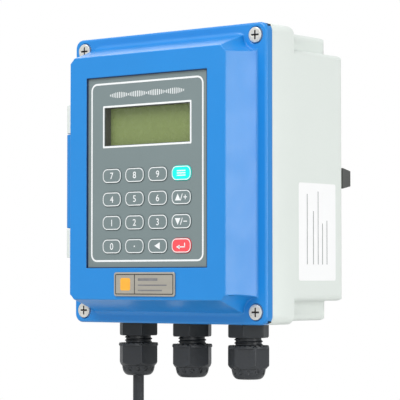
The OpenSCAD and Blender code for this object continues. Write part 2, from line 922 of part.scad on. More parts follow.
// Coil: its radius, its layer and its points after winding by a degrees, inward and then outward again
function coil_r(a) = coil_in_r + (coil_out_r - coil_in_r) * abs(a - coil_sweep) / coil_sweep;
function coil_x(a) = lead_x - coil_layer * min(max((a - coil_sweep) / coil_climb + 0.5, 0), 1);
function coil_point(a) = [coil_x(a), coil_at[0] + coil_r(a) * cos(coil_start + a),
                          coil_at[1] + coil_r(a) * sin(coil_start + a)];
function coil_way(a) = [0, -sin(coil_start + a), cos(coil_start + a)];
coil_end = 2 * coil_sweep + coil_extra;
coil_steps = round(coil_end / 360 * loop_rings);
coil_turned = [for (i = [0 : coil_steps]) coil_point(i * 360 / loop_rings)];
coil_entry = coil_point(0) - cord_d * coil_way(0);
coil_exit = coil_point(coil_end) + cord_d * coil_way(coil_end);
coil_gap = min([for (i = [0 : coil_steps], j = [i + loop_rings / 2 : 1 : coil_steps])
    norm(coil_turned[i] - coil_turned[j])]) - cord_d;
echo(coil_gap = coil_gap);

module cord_runs() {
    color([0.16, 0.17, 0.19]) {
        tube(concat(lead_points, [coil_entry]), cord_d / 2, cord_sides);
        tube(concat([coil_exit], tail_points), cord_d / 2, cord_sides);
    }
}

module cord_coil() {
    color([0.16, 0.17, 0.19])
        tube(concat([coil_entry], coil_turned, [coil_exit]), cord_d / 2, coil_sides);
}

module cord_tie() {
    low_z = coil_at[1] + coil_r(tie_low_turn) - cord_d / 2 - tie_sag;
    high_z = coil_at[1] + coil_r(tie_high_turn) + cord_d / 2 + tie_gap;
    inner_w = coil_layer + cord_d + 2 * tie_gap;
    color([0.08, 0.08, 0.09])
        translate([(lead_x + tail_x) / 2, 0, (low_z + high_z) / 2])
            forward(coil_at[0] + tie_w / 2, tie_w)
                difference() {
                    rounded_rect(inner_w + 2 * tie_t, high_z - low_z + 2 * tie_t, 2 * tie_t);
                    rounded_rect(inner_w, high_z - low_z, tie_t);
                }
}

module plug_body() {
    color([0.12, 0.12, 0.13])
        translate([tail_x, plug_y, 0]) {
            translate([0, 0, plug_top_z - relief_h])
                cylinder(h = relief_h, r1 = relief_end_r, r2 = relief_r);
            translate([0, 0, plug_top_z - relief_h - shoulder_h])
                cylinder(h = shoulder_h, r1 = grip_r, r2 = relief_end_r);
            translate([0, 0, plug_end_z + plug_face_h])
                cylinder(h = grip_h, r1 = grip_end_r, r2 = grip_r);
            translate([0, 0, plug_end_z])
                cylinder(h = plug_face_h, r = plug_face_r);
        }
}

module plug_pins() {
    color([0.8, 0.7, 0.4])
        translate([tail_x, plug_y, plug_end_z]) {
            for (side = [-1, 1])
                translate([side * blade_pitch / 2 - blade_t / 2, blade_y - blade_w / 2, -blade_l])
                    cube([blade_t, blade_w, blade_l]);
            translate([0, earth_y, -earth_l])
                cylinder(h = earth_l, r = earth_r);
        }
}

// Half size of the raised front at y, from its foot and its face
function slope_at(foot, face, y) = foot + (face - foot) * (rim_y - y) / front_h;

// Side view of the raised front as [distance from the middle, y], with its foot carried back into the rim
function front_side(foot, face, end_y) =
    [[-foot, rim_y + over], [foot, rim_y + over], [foot, rim_y], [slope_at(foot, face, end_y), end_y],
     [-slope_at(foot, face, end_y), end_y], [-foot, rim_y]];

// The raised front, drawn in by inset, from the rim to end_y, cut away round each screw by a cone
module raised_front(inset, end_y) {
    depth = rim_y - end_y + over;
    r = well_r + inset;
    face_x = half_w - face_inset_x - inset;
    face_z = half_h - face_inset_z - inset;
    difference() {
        intersection() {
            linear_extrude(body_h, center = true)
                polygon(front_side(half_w - foot_inset_x - inset, face_x, end_y));
            rotate([90, 0, 90])
                linear_extrude(body_w, center = true)
                    mirror([1, -1])
                        polygon(front_side(half_h - foot_inset_z - inset, face_z, end_y));
        }
        for (sx = [-1, 1], sz = [-1, 1])
            translate([sx * screw_x, rim_y, sz * screw_z])
                rotate([90, 0, 0])
                    rotate_extrude()
                        polygon([[0, -2 * over], [r, -2 * over], [r, 0],
                                 [slope_at(r, well_face_r + inset, rim_y - depth), depth], [0, depth]]);
    }
}

// Outline of the gasket's path, drawn in by inset and passing inside the screws at corner_gap
module gasket_outline(inset, corner_gap) {
    difference() {
        square([body_w - 2 * inset, body_h - 2 * inset], center = true);
        at_screws()
            circle(corner_gap);
    }
}

module gasket_ring(gap) {
    outer = gasket_inset - gap;
    inner = gasket_inset + gasket_w + gap;
    difference() {
        gasket_outline(outer, gasket_corner_r - gap);
        gasket_outline(inner, gasket_corner_r + gasket_w + gap);
    }
}

module lid_inside() {
    inside_w = body_w - 2 * foot_inset_x - 2 * lid_wall;
    inside_h = body_h - 2 * foot_inset_z - 2 * lid_wall;
    forward(lid_back_y + over, rim_t + over)
        difference() {
            square([inside_w, inside_h], center = true);
            at_screws()
                circle(well_r + lid_wall);
        }
    raised_front(lid_wall, cavity_y);
}

module lid_knuckle() {
    translate([hinge_x, hinge_y, 0])
        cylinder(h = lid_knuckle_l, r = knuckle_r, center = true);
    translate([hinge_x, lid_back_y - arm_t, -lid_knuckle_l / 2])
        cube([hinge_out + over, arm_t, lid_knuckle_l]);
}

// Recesses of the film, the keys' board and the window in the front face
module panel_recesses() {
    translate([0, 0, panel_z])
        forward(film_back_y, panel_recess + film_t + over)
            square([panel_w, panel_h], center = true);
    translate([0, 0, keypad_z])
        forward(keypad_floor_y, keypad_floor_y - face_y)
            square([keypad_w, keypad_h], center = true);
    translate([0, 0, win_z])
        forward(film_back_y + lens_t, lens_t + over)
            square([win_w + 2 * lens_lip, win_h + 2 * lens_lip], center = true);
    translate([0, 0, win_z])
        forward(cavity_y + over, cavity_y - face_y)
            square([win_w, win_h], center = true);
}

module display_posts() {
    for (sx = [-1, 1], sz = [-1, 1])
        difference() {
            bar(sx * post_x, win_z + sz * post_z, display_board_y, display_board_y - cavity_y + over, post_r);
            bar(sx * post_x, win_z + sz * post_z, display_board_y + over, small_l + over, small_r + seat_gap);
        }
}

module lid_housing() {
    color([0.19, 0.56, 0.89])
        difference() {
            union() {
                difference() {
                    union() {
                        bevelled_slab(body_w, body_h, corner_r, rim_bevel, lid_back_y, rim_t);
                        raised_front(0, face_y);
                        lid_knuckle();
                    }
                    lid_inside();
                }
                display_posts();
            }
            panel_recesses();
            translate([hinge_x, hinge_y, 0])
                cylinder(h = body_h, r = pin_r + seat_gap, center = true);
            forward(lid_back_y + over, groove_d + over)
                gasket_ring(seat_gap);
            forward(lid_back_y + over, rim_t + over)
                at_screws()
                    circle(shank_r + slide_gap);
            forward(recess_floor_y, recess_floor_y - rim_y + over)
                at_screws()
                    circle(head_r + head_gap);
        }
}

module lid_gasket() {
    color([0.1, 0.1, 0.11])
        forward(parting_y - seat_gap, groove_d + lid_gap - seat_gap)
            gasket_ring(0);
}

// The children at each key, in the flat, by column and row
module at_keys() {
    for (column = [0 : 3], row = [0 : 3])
        translate([(column - 1.5) * key_pitch_x, key_row_z - row * key_pitch_z])
            children();
}

module keypad_film() {
    color([0.51, 0.57, 0.57])
        forward(film_back_y, film_t)
            difference() {
                translate([0, panel_z])
                    square([panel_w - 2 * film_gap, panel_h - 2 * film_gap], center = true);
                translate([0, win_z])
                    square([win_w, win_h], center = true);
                at_keys()
                    rounded_rect(key_w + 2 * slide_gap, key_h + 2 * slide_gap, key_r + slide_gap);
            }
}

// A key: its cap stands through the film, and its flange lies behind the film
module key(column, row, tint) {
    color(tint)
        translate([(column - 1.5) * key_pitch_x, 0, key_row_z - row * key_pitch_z]) {
            forward(flange_y + flange_t, flange_t)
                rounded_rect(key_w + 2 * flange_w, key_h + 2 * flange_w, key_r);
            forward(flange_y, film_gap + film_t + key_proud)
                rounded_rect(key_w, key_h, key_r);
        }
}

module snap_domes() {
    color([0.75, 0.75, 0.76])
        for (column = [0 : 3], row = [0 : 3])
            translate([(column - 1.5) * key_pitch_x, dome_y + dome_h, key_row_z - row * key_pitch_z])
                rotate([90, 0, 0])
                    cylinder(h = dome_h, r1 = dome_r, r2 = dome_top_r);
}

module keypad_board() {
    color([0.1, 0.35, 0.2])
        translate([0, 0, keypad_z])
            forward(keypad_floor_y, keypad_board_t)
                square([keypad_w - 2 * film_gap, keypad_h - 2 * film_gap], center = true);
}

module window_lens() {
    edge = 2 * lens_lip - 2 * film_gap;
    color([0.75, 0.82, 0.8, 0.4])
        translate([0, 0, win_z])
            forward(film_back_y + lens_t, lens_t)
                square([win_w + edge, win_h + edge], center = true);
}

module display_bezel() {
    pocket = 2 * (bezel_rim - bezel_wall);
    color([0.7, 0.71, 0.72])
        translate([0, 0, win_z])
            difference() {
                forward(display_board_y, display_board_y - cavity_y)
                    square([win_w + 2 * bezel_rim, win_h + 2 * bezel_rim], center = true);
                forward(display_board_y + over, display_t + over)
                    square([win_w + pocket, win_h + pocket], center = true);
                forward(display_board_y, display_board_y - cavity_y + over)
                    square([win_w, win_h], center = true);
            }
}

module display_panel() {
    pocket = 2 * (bezel_rim - bezel_wall - film_gap);
    color([0.52, 0.6, 0.4])
        translate([0, 0, win_z])
            forward(display_board_y, display_t)
                square([win_w + pocket, win_h + pocket], center = true);
}

module display_board() {
    color([0.1, 0.35, 0.2])
        difference() {
            block(0, win_z, display_board_y + board_t, [display_board_w, display_board_h, board_t]);
            for (sx = [-1, 1], sz = [-1, 1])
                bar(sx * post_x, win_z + sz * post_z, display_board_y + board_t + over, board_t + 2 * over,
                    small_r + slide_gap);
        }
}

module display_screws() {
    color([0.75, 0.75, 0.76])
        mirror([0, 1, 0])
            for (sx = [-1, 1], sz = [-1, 1])
                screw(sx * post_x, win_z + sz * post_z, -display_board_y - board_t, small_head_r,
                      small_head_t, small_r, board_t + small_l - slide_gap);
}

module front_plate() {
    color([0.65, 0.63, 0.59])
        translate([plate_x, 0, plate_z])
            forward(face_y, plate_t)
                rounded_rect(plate_w, plate_h, plate_r);
}

// A captive lid screw at one corner: side_x and side_z say which
module lid_screw(side_x, side_z) {
    color([0.75, 0.75, 0.76])
        screw(side_x * screw_x, side_z * screw_z, recess_floor_y, head_r, head_t, shank_r,
              parting_y + screw_reach - recess_floor_y);
}

grey = [0.51, 0.57, 0.57];
cyan = [0, 0.94, 0.88];
red = [0.98, 0.25, 0.33];

base_housing();
wall_bracket();
bracket_screws();
screw_inserts();
main_board();
board_screws();
power_module();
fuse();
power_terminals();
signal_terminals();
relays();
capacitors();
board_chips();
ribbon_cable();
mains_wires();
gland_bodies([gland_xs[0], gland_xs[2]]);
gland_bodies([gland_xs[1]]);  // gland_body_middle
gland_locknuts();
gland_seals();
hinge_pin();
cord_runs();
cord_coil();
cord_tie();
plug_body();
plug_pins();
gland_nut(gland_xs[0]);  // gland_nut_left
gland_nut(gland_xs[1]);  // gland_nut_middle
gland_nut(gland_xs[2]);  // gland_nut_right
lid_housing();
lid_gasket();
keypad_film();
window_lens();
display_bezel();
display_panel();
display_board();
display_screws();
keypad_board();
snap_domes();
front_plate();
key(0, 0, grey);  // key_7
key(1, 0, grey);  // key_8
key(2, 0, grey);  // key_9
key(3, 0, cyan);  // key_menu
key(0, 1, grey);  // key_4
key(1, 1, grey);  // key_5
key(2, 1, grey);  // key_6
key(3, 1, grey);  // key_up
key(0, 2, grey);  // key_1
key(1, 2, grey);  // key_2
key(2, 2, grey);  // key_3
key(3, 2, grey);  // key_down
key(0, 3, grey);  // key_0
key(1, 3, grey);  // key_dot
key(2, 3, grey);  // key_left
key(3, 3, red);  // key_enter
lid_screw(-1, 1);  // lid_screw_1
lid_screw(1, 1);  // lid_screw_2
lid_screw(1, -1);  // lid_screw_3
lid_screw(-1, -1);  // lid_screw_4
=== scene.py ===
"""Wall-mounted ultrasonic flow meter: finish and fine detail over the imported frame, in the frame's axes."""
import json
import math

import bmesh
import bpy
from mathutils import Matrix, Vector
from mathutils.bvhtree import BVHTree


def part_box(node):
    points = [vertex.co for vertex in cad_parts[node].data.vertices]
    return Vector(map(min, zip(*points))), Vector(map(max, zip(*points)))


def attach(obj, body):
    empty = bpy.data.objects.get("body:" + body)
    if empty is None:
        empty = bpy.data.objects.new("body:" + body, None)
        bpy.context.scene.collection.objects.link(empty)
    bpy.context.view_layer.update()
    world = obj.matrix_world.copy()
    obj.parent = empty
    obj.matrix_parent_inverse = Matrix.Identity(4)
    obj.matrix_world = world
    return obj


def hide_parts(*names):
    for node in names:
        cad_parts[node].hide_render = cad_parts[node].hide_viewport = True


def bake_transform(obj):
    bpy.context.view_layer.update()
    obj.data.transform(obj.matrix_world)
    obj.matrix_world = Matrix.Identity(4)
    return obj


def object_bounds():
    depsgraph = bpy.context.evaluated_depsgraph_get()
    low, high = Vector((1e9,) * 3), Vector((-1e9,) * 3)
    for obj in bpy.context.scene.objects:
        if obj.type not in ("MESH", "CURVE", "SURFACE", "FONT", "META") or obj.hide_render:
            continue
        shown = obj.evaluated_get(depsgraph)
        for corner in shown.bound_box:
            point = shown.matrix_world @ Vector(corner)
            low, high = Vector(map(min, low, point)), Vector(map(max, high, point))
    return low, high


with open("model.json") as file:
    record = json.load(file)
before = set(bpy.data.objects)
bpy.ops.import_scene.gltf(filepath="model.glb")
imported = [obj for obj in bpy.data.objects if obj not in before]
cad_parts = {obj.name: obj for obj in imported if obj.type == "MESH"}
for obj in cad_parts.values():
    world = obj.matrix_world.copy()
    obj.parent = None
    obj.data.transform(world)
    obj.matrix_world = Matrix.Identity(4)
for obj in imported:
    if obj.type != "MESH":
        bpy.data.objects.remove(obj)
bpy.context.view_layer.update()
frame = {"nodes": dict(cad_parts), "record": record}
MM = 0.001
INK = 0.05  # thickness of a print
NEAR = 0.06  # a distance that counts as none
SHARP_ANGLE, ROUND_ANGLE, FLAT_ANGLE = 38, 32, 0.2  # edges over these are shaded sharp, rounded, or kept as edges
# The faces of a box whose corners are listed by x, then y, then z
BOX_FACES = [(0, 1, 3, 2), (4, 6, 7, 5), (0, 4, 5, 1), (2, 3, 7, 6), (0, 2, 6, 4), (1, 5, 7, 3)]

# The camera of the photograph
camera_data = bpy.data.cameras.new("camera")
camera_data.sensor_width = 36
camera_data.lens = 175.689
camera_data.clip_end = 50
camera = bpy.data.objects.new("camera", camera_data)
camera.location = (0.8295, -1.0861, -0.0681)
camera.rotation_euler = (math.radians(92.342), 0, math.radians(38.974))
bpy.context.collection.objects.link(camera)
bpy.context.scene.camera = camera
bpy.context.scene.view_settings.view_transform = "Standard"


def corners(node):
    """Lowest and highest corner of a CAD node, in millimetres."""
    low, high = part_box(node)
    return Vector(low) / MM, Vector(high) / MM


def srgb(red, green, blue):
    """Linear colour of 8-bit values as they are read from a picture."""
    def linear(value):
        value /= 255
        return value / 12.92 if value <= 0.04045 else ((value + 0.055) / 1.055) ** 2.4
    return linear(red), linear(green), linear(blue)


class Nodes:
    """A material's node tree, wired step by step."""

    def __init__(self, name):
        self.material = bpy.data.materials.new(name)
        self.material.use_nodes = True
        self.tree = self.material.node_tree
        self.shader = self.tree.nodes["Principled BSDF"]
        self.place = self.add("ShaderNodeTexCoord").outputs["Object"]

    def add(self, kind, **settings):
        node = self.tree.nodes.new(kind)
        for key, value in settings.items():
            setattr(node, key, value)
        return node

    def link(self, start, end):
        self.tree.links.new(start, end)

    def stretched(self, scale):
        node = self.add("ShaderNodeMapping")
        node.inputs["Scale"].default_value = scale
        self.link(self.place, node.inputs["Vector"])
        return node.outputs["Vector"]

    def noise(self, scale, detail, place=None):
        node = self.add("ShaderNodeTexNoise")
        node.inputs["Scale"].default_value = scale
        node.inputs["Detail"].default_value = detail
        self.link(place or self.place, node.inputs["Vector"])
        return node.outputs["Fac"]

    def spread(self, value, low, high, start=0.3, end=0.7):
        node = self.add("ShaderNodeMapRange")
        for name, number in (("From Min", start), ("From Max", end), ("To Min", low), ("To Max", high)):
            node.inputs[name].default_value = number
        self.link(value, node.inputs["Value"])
        return node.outputs["Result"]

    def mix(self, share, first, second):
        node = self.add("ShaderNodeMix", data_type="RGBA")
        self.link(share, node.inputs[0])
        for socket, colour in ((node.inputs[6], first), (node.inputs[7], second)):
            if isinstance(colour, tuple):
                socket.default_value = (*colour, 1)
            else:
                self.link(colour, socket)
        return node.outputs[2]

    def bump(self, height, depth):
        node = self.add("ShaderNodeBump")
        node.inputs["Distance"].default_value = depth * MM
        self.link(height, node.inputs["Height"])
        return node.outputs["Normal"]

    def set(self, **values):
        for name, value in values.items():
            self.shader.inputs[name.replace("_", " ")].default_value = value


def material(name, colour, rough, shade, patch, grain, pitch, stretch=None, **values):
    """A finish whose colour, roughness and surface vary as the real one's do. Shade is the share by which the colour
    drifts, patch the scale of that drift and pitch that of the grain, both per metre, and grain is the grain's depth
    in millimetres."""
    n = Nodes(name)
    place = n.stretched(stretch) if stretch else None
    rough_spread = 0.06
    darker = tuple(c * (1 - shade) for c in colour)
    lighter = tuple(min(1.0, c * (1 + shade)) for c in colour)
    drift = n.spread(n.noise(patch, 3.0, place), 0, 1)
    speck = n.spread(n.noise(pitch * 0.6, 2.0, place), 0, 1)
    base = n.mix(drift, darker, lighter)
    fine = n.mix(n.spread(speck, 0, 0.5, 0, 1), base, tuple(c * (1 - shade * 0.8) for c in colour))
    n.link(fine, n.shader.inputs["Base Color"])
    n.link(n.spread(n.noise(patch * 5, 3.0, place), rough - rough_spread, rough + rough_spread),
           n.shader.inputs["Roughness"])
    n.link(n.bump(n.noise(pitch, 3.0, place), grain), n.shader.inputs["Normal"])
    n.set(**values)
    return n.material


WHITE_PLASTIC = material("housing_white", srgb(222, 228, 223), 0.5, 0.02, 12, 0.035, 1300)
BLUE_PLASTIC = material("lid_blue", srgb(16, 133, 212), 0.36, 0.03, 10, 0.03, 1100, Coat_Weight=0.25,
                        Coat_Roughness=0.25)
DARK_PAINT = material("bracket_paint", srgb(84, 86, 84), 0.5, 0.08, 40, 0.06, 900, Metallic=0.15)
BRIGHT_STEEL = material("bright_screws", srgb(232, 230, 222), 0.32, 0.04, 60, 0.02, 900, stretch=(1, 1, 6),
                        Metallic=0.55)
STEEL = material("steel_screws", srgb(205, 203, 197), 0.3, 0.05, 60, 0.02, 900, stretch=(1, 1, 6), Metallic=1.0)
BRASS = material("brass_turned", (0.78, 0.55, 0.22), 0.28, 0.06, 80, 0.02, 800, stretch=(1, 6, 1), Metallic=1.0)
NICKEL = material("pins_nickel", (0.72, 0.66, 0.52), 0.22, 0.05, 80, 0.01, 800, stretch=(1, 1, 5), Metallic=1.0)
MASK_GREEN = material("solder_mask", (0.012, 0.105, 0.05), 0.3, 0.12, 30, 0.02, 500, Coat_Weight=0.4)
TRACE_GREEN = material("covered_copper", (0.03, 0.21, 0.09), 0.28, 0.1, 60, 0.02, 500, Coat_Weight=0.4)
TIN = material("solder_tin", (0.62, 0.62, 0.6), 0.3, 0.1, 300, 0.05, 600, Metallic=1.0)
BLACK_PLASTIC = material("black_moulding", (0.018, 0.018, 0.02), 0.45, 0.15, 50, 0.05, 1200)
GREEN_PLASTIC = material("terminal_green", (0.04, 0.26, 0.1), 0.42, 0.08, 60, 0.04, 1100)
RELAY_BLUE = material("relay_blue", (0.02, 0.08, 0.32), 0.25, 0.06, 60, 0.02, 700, Coat_Weight=0.3)
SLEEVE = material("capacitor_sleeve", (0.02, 0.024, 0.035), 0.25, 0.1, 80, 0.02, 500, Coat_Weight=0.4)
ALUMINIUM = material("aluminium_tops", (0.75, 0.76, 0.77), 0.35, 0.06, 90, 0.02, 900, Metallic=1.0)
GLAND_BLACK = material("gland_nylon", srgb(43, 46, 50), 0.4, 0.14, 60, 0.06, 900, Coat_Weight=0.1,
                       Coat_Roughness=0.3)
GLAND_DARK = material("gland_nylon_dark", srgb(18, 24, 30), 0.42, 0.14, 60, 0.06, 900, Coat_Weight=0.1,
                      Coat_Roughness=0.3)
# Dark of the painted shade in the screws' cross recesses
CROSS_RECESS_SHADE = material("screw_recess_painted_shade", (0.035, 0.03, 0.026), 0.5, 0.1, 80, 0.02, 900, Metallic=0.4)
# Navy of the painted shade along the keypad recess
RECESS_SHADE_NAVY = material("film_edge_painted_shade", srgb(22, 58, 104), 0.5, 0.08, 60, 0.02, 900)
RUBBER = material("seal_rubber", (0.02, 0.02, 0.022), 0.7, 0.15, 80, 0.06, 1200)
CORD_BLACK = material("cord_sheath", srgb(36, 39, 44), 0.5, 0.1, 60, 0.08, 700, Sheen_Weight=0.1)
CORE_BLACK = material("core_black", (0.02, 0.02, 0.022), 0.35, 0.1, 60, 0.03, 500)
CORE_WHITE = material("core_white", (0.75, 0.75, 0.72), 0.4, 0.06, 60, 0.03, 500)
CORE_GREEN = material("core_green", (0.02, 0.28, 0.07), 0.38, 0.08, 60, 0.03, 500)
FILM_GREY = material("film_grey", srgb(119, 133, 134), 0.5, 0.03, 12, 0.02, 1600)
KEY_GREY = material("key_grey", srgb(117, 131, 132), 0.45, 0.03, 20, 0.02, 1600)
KEY_CYAN = material("key_cyan", srgb(0, 243, 229), 0.45, 0.03, 20, 0.02, 1600)
KEY_RED = material("key_red", srgb(243, 82, 90), 0.45, 0.03, 20, 0.02, 1600)
PRINT_WHITE = material("print_white", (0.86, 0.88, 0.88), 0.4, 0.03, 30, 0.01, 900)
# Dark print, also used as the painted shade of the screws' slots and of the scores on the capacitor tops
DARK_INK_AND_SLOT_SHADE = material("dark_ink_and_slot_shade", (0.03, 0.03, 0.032), 0.45, 0.1, 60, 0.01, 900)
GREY_INK = material("grey_ink", (0.2, 0.2, 0.21), 0.5, 0.15, 200, 0.01, 900)
AMBER = material("amber_enamel", srgb(250, 178, 60), 0.35, 0.06, 120, 0.02, 700)
PLATE_METAL = material("plate_brushed", srgb(176, 171, 160), 0.42, 0.06, 40, 0.03, 700, stretch=(1, 1, 9),
                       Metallic=0.35)
LABEL_WHITE = material("label_paper", (0.93, 0.93, 0.93), 0.5, 0.01, 30, 0.02, 1500)
LINER = material("window_liner", (0.12, 0.117, 0.108), 0.5, 0.1, 60, 0.03, 900)
BEZEL_STEEL = material("bezel_steel", (0.55, 0.56, 0.57), 0.38, 0.05, 60, 0.02, 700, stretch=(6, 1, 1), Metallic=1.0)
RIBBON = material("ribbon_grey", (0.34, 0.34, 0.35), 0.45, 0.06, 60, 0.03, 600)
RIBBON_RED = material("ribbon_marker", (0.5, 0.03, 0.03), 0.45, 0.06, 60, 0.03, 600)
TIE_BLACK = material("tie_nylon", (0.015, 0.015, 0.017), 0.4, 0.1, 60, 0.04, 900)


def display_material():
    """Reflective display glass: olive, mottled, with faint rows of character cells."""
    n = Nodes("display_olive")
    cells = n.add("ShaderNodeTexBrick", offset=0.0)
    flat = n.add("ShaderNodeMapping")
    display_z = 33.6
    flat.inputs["Rotation"].default_value = (math.radians(-90), 0, 0)
    flat.inputs["Location"].default_value = (0.0, -display_z * MM, 0.0)
    n.link(n.place, flat.inputs["Vector"])
    n.link(flat.outputs["Vector"], cells.inputs["Vector"])
    for name, value in (("Scale", 1.0), ("Mortar Size", 0.00028), ("Mortar Smooth", 0.3),
                        ("Brick Width", 0.0039), ("Row Height", 0.0085)):
        cells.inputs[name].default_value = value
    olive = n.mix(n.spread(n.noise(30, 3), 0, 1), srgb(160, 176, 114), srgb(159, 176, 111))
    faint = n.mix(n.spread(cells.outputs["Fac"], 0.0, 0.12, 0, 1), srgb(149, 166, 102), olive)
    n.link(n.mix(n.spread(cells.outputs["Fac"], 0.06, 0.0, 0, 1), faint, olive), n.shader.inputs["Base Color"])
    n.link(n.spread(n.noise(200, 2), 0.2, 0.32), n.shader.inputs["Roughness"])
    n.link(n.bump(n.noise(900, 2), 0.01), n.shader.inputs["Normal"])
    return n.material


def clear_material():
    """Clear window: nearly unseen, with the gloss and fine scuffs of polished plastic."""
    n = Nodes("window_clear")
    n.link(n.mix(n.spread(n.noise(60, 3), 0, 1), (0.06, 0.07, 0.06), (0.08, 0.09, 0.08)), n.shader.inputs["Base Color"])
    n.link(n.spread(n.noise(300, 4), 0.04, 0.12), n.shader.inputs["Roughness"])
    n.link(n.bump(n.noise(40, 2), 0.02), n.shader.inputs["Normal"])
    n.set(Alpha=0.1)
    return n.material


DISPLAY = display_material()
CLEAR = clear_material()


class Shape:
    """A mesh under construction. Each face remembers its material."""

    def __init__(self):
        self.points = []
        self.faces = []
        self.slots = []

    def add(self, points, faces, slot=0):
        start = len(self.points)
        self.points += [Vector(p) for p in points]
        self.faces += [[start + k for k in face] for face in faces]
        self.slots += [slot] * len(faces)

    def loft(self, rows, slot=0):
        """A skin through rings of as many points, with flat ends."""
        n = len(rows[0])
        last = (len(rows) - 1) * n
        faces = [[k * n + j, k * n + (j + 1) % n, (k + 1) * n + (j + 1) % n, (k + 1) * n + j]
                 for k in range(len(rows) - 1) for j in range(n)]
        self.add([p for row in rows for p in row], faces + [list(range(n)), [last + j for j in range(n)]], slot)

    def prism(self, outline, y, depth, slot=0):
        """A flat outline of (x, z), solid from y forward by depth."""
        self.loft([[(x, y - d, z) for x, z in outline] for d in (0, depth)], slot)

    def band(self, outer, inner, y, depth, slot=0):
        """The strip between two outlines of as many points, solid from y forward by depth."""
        n = len(outer)
        points = [(x, y - d, z) for d in (0, depth) for line in (outer, inner) for x, z in line]
        faces = []
        for k in range(n):
            j = (k + 1) % n
            faces += [[2 * n + k, 3 * n + k, 3 * n + j, 2 * n + j], [k, j, n + j, n + k],
                      [k, 2 * n + k, 2 * n + j, j], [n + k, n + j, 3 * n + j, 3 * n + k]]
        self.add(points, faces, slot)

    def box(self, low, high, slot=0):
        """A block between its lowest and highest corner."""
        points = [(x, y, z) for x in (low[0], high[0]) for y in (low[1], high[1]) for z in (low[2], high[2])]
        self.add(points, BOX_FACES, slot)

    def lathe(self, profile, place, sides, axis=(0, 0, 1), slot=0):
        """A profile of (radius, height) turned round an axis. A radius of 0 closes it."""
        turn = Vector((0, 0, 1)).rotation_difference(Vector(axis)).to_matrix()
        points = []
        rows = []
        for radius, height in profile:
            if radius < 1e-6:
                rows.append([len(points)] * sides)
                points.append(turn @ Vector((0, 0, height)) + Vector(place))
                continue
            rows.append([len(points) + k for k in range(sides)])
            for k in range(sides):
                a = 2 * math.pi * k / sides
                points.append(turn @ Vector((radius * math.cos(a), radius * math.sin(a), height)) + Vector(place))
        faces = []
        for lower, upper in zip(rows, rows[1:]):
            for k in range(sides):
                j = (k + 1) % sides
                face = list(dict.fromkeys([lower[k], lower[j], upper[j], upper[k]]))
                if len(face) > 2:
                    faces.append(face)
        self.add(points, faces, slot)

    def tube(self, path, radii, sides, slot=0):
        """A round tube along points, with flat ends and a radius for each point."""
        path = [Vector(p) for p in path]
        across = None
        rows = []
        for k, at in enumerate(path):
            way = (path[min(k + 1, len(path) - 1)] - path[max(k - 1, 0)]).normalized()
            if across is None:
                across = way.orthogonal().normalized()
            across = (across - way * across.dot(way)).normalized()
            other = way.cross(across)
            turns = [2 * math.pi * j / sides for j in range(sides)]
            rows.append([at + radii[k] * (math.cos(a) * across + math.sin(a) * other) for a in turns])
        self.loft(rows, slot)

    def helix(self, profile, x, y, low, high, pitch):
        """A thread round an upright axis: a closed profile of (radius, height) that climbs from low to high."""
        sides = 40
        rows = []
        for k in range(int((high - low) / pitch * sides) + 1):
            a = 2 * math.pi * k / sides
            climb = low + pitch * k / sides
            rows.append([(x + r * math.cos(a), y + r * math.sin(a), climb + h) for r, h in profile])
        self.loft(rows)

    def made(self, name, materials, smooth=True):
        """The shape as an object of the scene, its faces turned outward."""
        mesh = bpy.data.meshes.new(name)
        mesh.from_pydata([p * MM for p in self.points], [], self.faces)
        for m in materials:
            mesh.materials.append(m)
        mesh.polygons.foreach_set("material_index", self.slots)
        work = bmesh.new()
        work.from_mesh(mesh)
        bmesh.ops.recalc_face_normals(work, faces=work.faces)
        work.to_mesh(mesh)
        work.free()
        piece = bpy.data.objects.new(name, mesh)
        bpy.context.collection.objects.link(piece)
        if smooth:
            shade(piece)
        return piece


def shade(piece):
    """Smooth shading, with the edges over SHARP_ANGLE left sharp."""
    mesh = piece.data
    mesh.polygons.foreach_set("use_smooth", [True] * len(mesh.polygons))
    mesh.set_sharp_from_angle(angle=math.radians(SHARP_ANGLE))


def round_edges(work, pick, width, segments):
    """Rounds the edges that pick chooses, on whole flat faces. What would run out of the form is brought back."""
    surface = BVHTree.FromBMesh(work)
    low, high = ([side(v.co[i] for v in work.verts) for i in range(3)] for side in (min, max))
    bmesh.ops.dissolve_limit(work, angle_limit=math.radians(FLAT_ANGLE), verts=work.verts, edges=work.edges)
    edges = [e for e in work.edges if len(e.link_faces) == 2 and pick(e)]
    bmesh.ops.bevel(work, geom=edges, offset=width * MM, segments=segments, profile=0.5, affect="EDGES",
                    clamp_overlap=False, loop_slide=True, material=-1)
    astray = 0.45 * width * MM
    for v in work.verts:
        at, _, _, away = surface.find_nearest(v.co)
        if away > astray:
            v.co = at
        v.co = [min(max(c, low[i]), high[i]) for i, c in enumerate(v.co)]
    bmesh.ops.triangulate(work, faces=[f for f in work.faces if len(f.verts) > 4])
    work.normal_update()


def on_plane(edge, y):
    """True if an edge lies in the plane at y."""
    return all(abs(v.co.y / MM - y) < NEAR for v in edge.verts)


def soften(piece, width, segments=2, sharp_y=None, hollow=True):
    """Rounds every edge of a piece that is sharper than ROUND_ANGLE, apart from those at sharp_y and, if not hollow,
    those of inner corners."""
    work = bmesh.new()
    work.from_mesh(piece.data)
    round_edges(work, lambda e: e.calc_face_angle(0) > math.radians(ROUND_ANGLE)
                and (sharp_y is None or not on_plane(e, sharp_y)) and (hollow or e.is_convex), width, segments)
    work.to_mesh(piece.data)
    work.free()
    piece.data.polygons.foreach_set("use_smooth", [True] * len(piece.data.polygons))
    weights = piece.modifiers.new("weights", "WEIGHTED_NORMAL")
    weights.keep_sharp = True
    weights.weight = 60


def cut_out(piece, cutters):
    """Takes a shape out of a piece."""
    tool = cutters.made("cutter", [], False)
    away = piece.modifiers.new("cut", "BOOLEAN")
    away.operation = "DIFFERENCE"
    away.object = tool
    solved = bpy.data.meshes.new_from_object(piece.evaluated_get(bpy.context.evaluated_depsgraph_get()))
    piece.modifiers.remove(away)
    piece.data = solved
    bpy.data.objects.remove(tool)


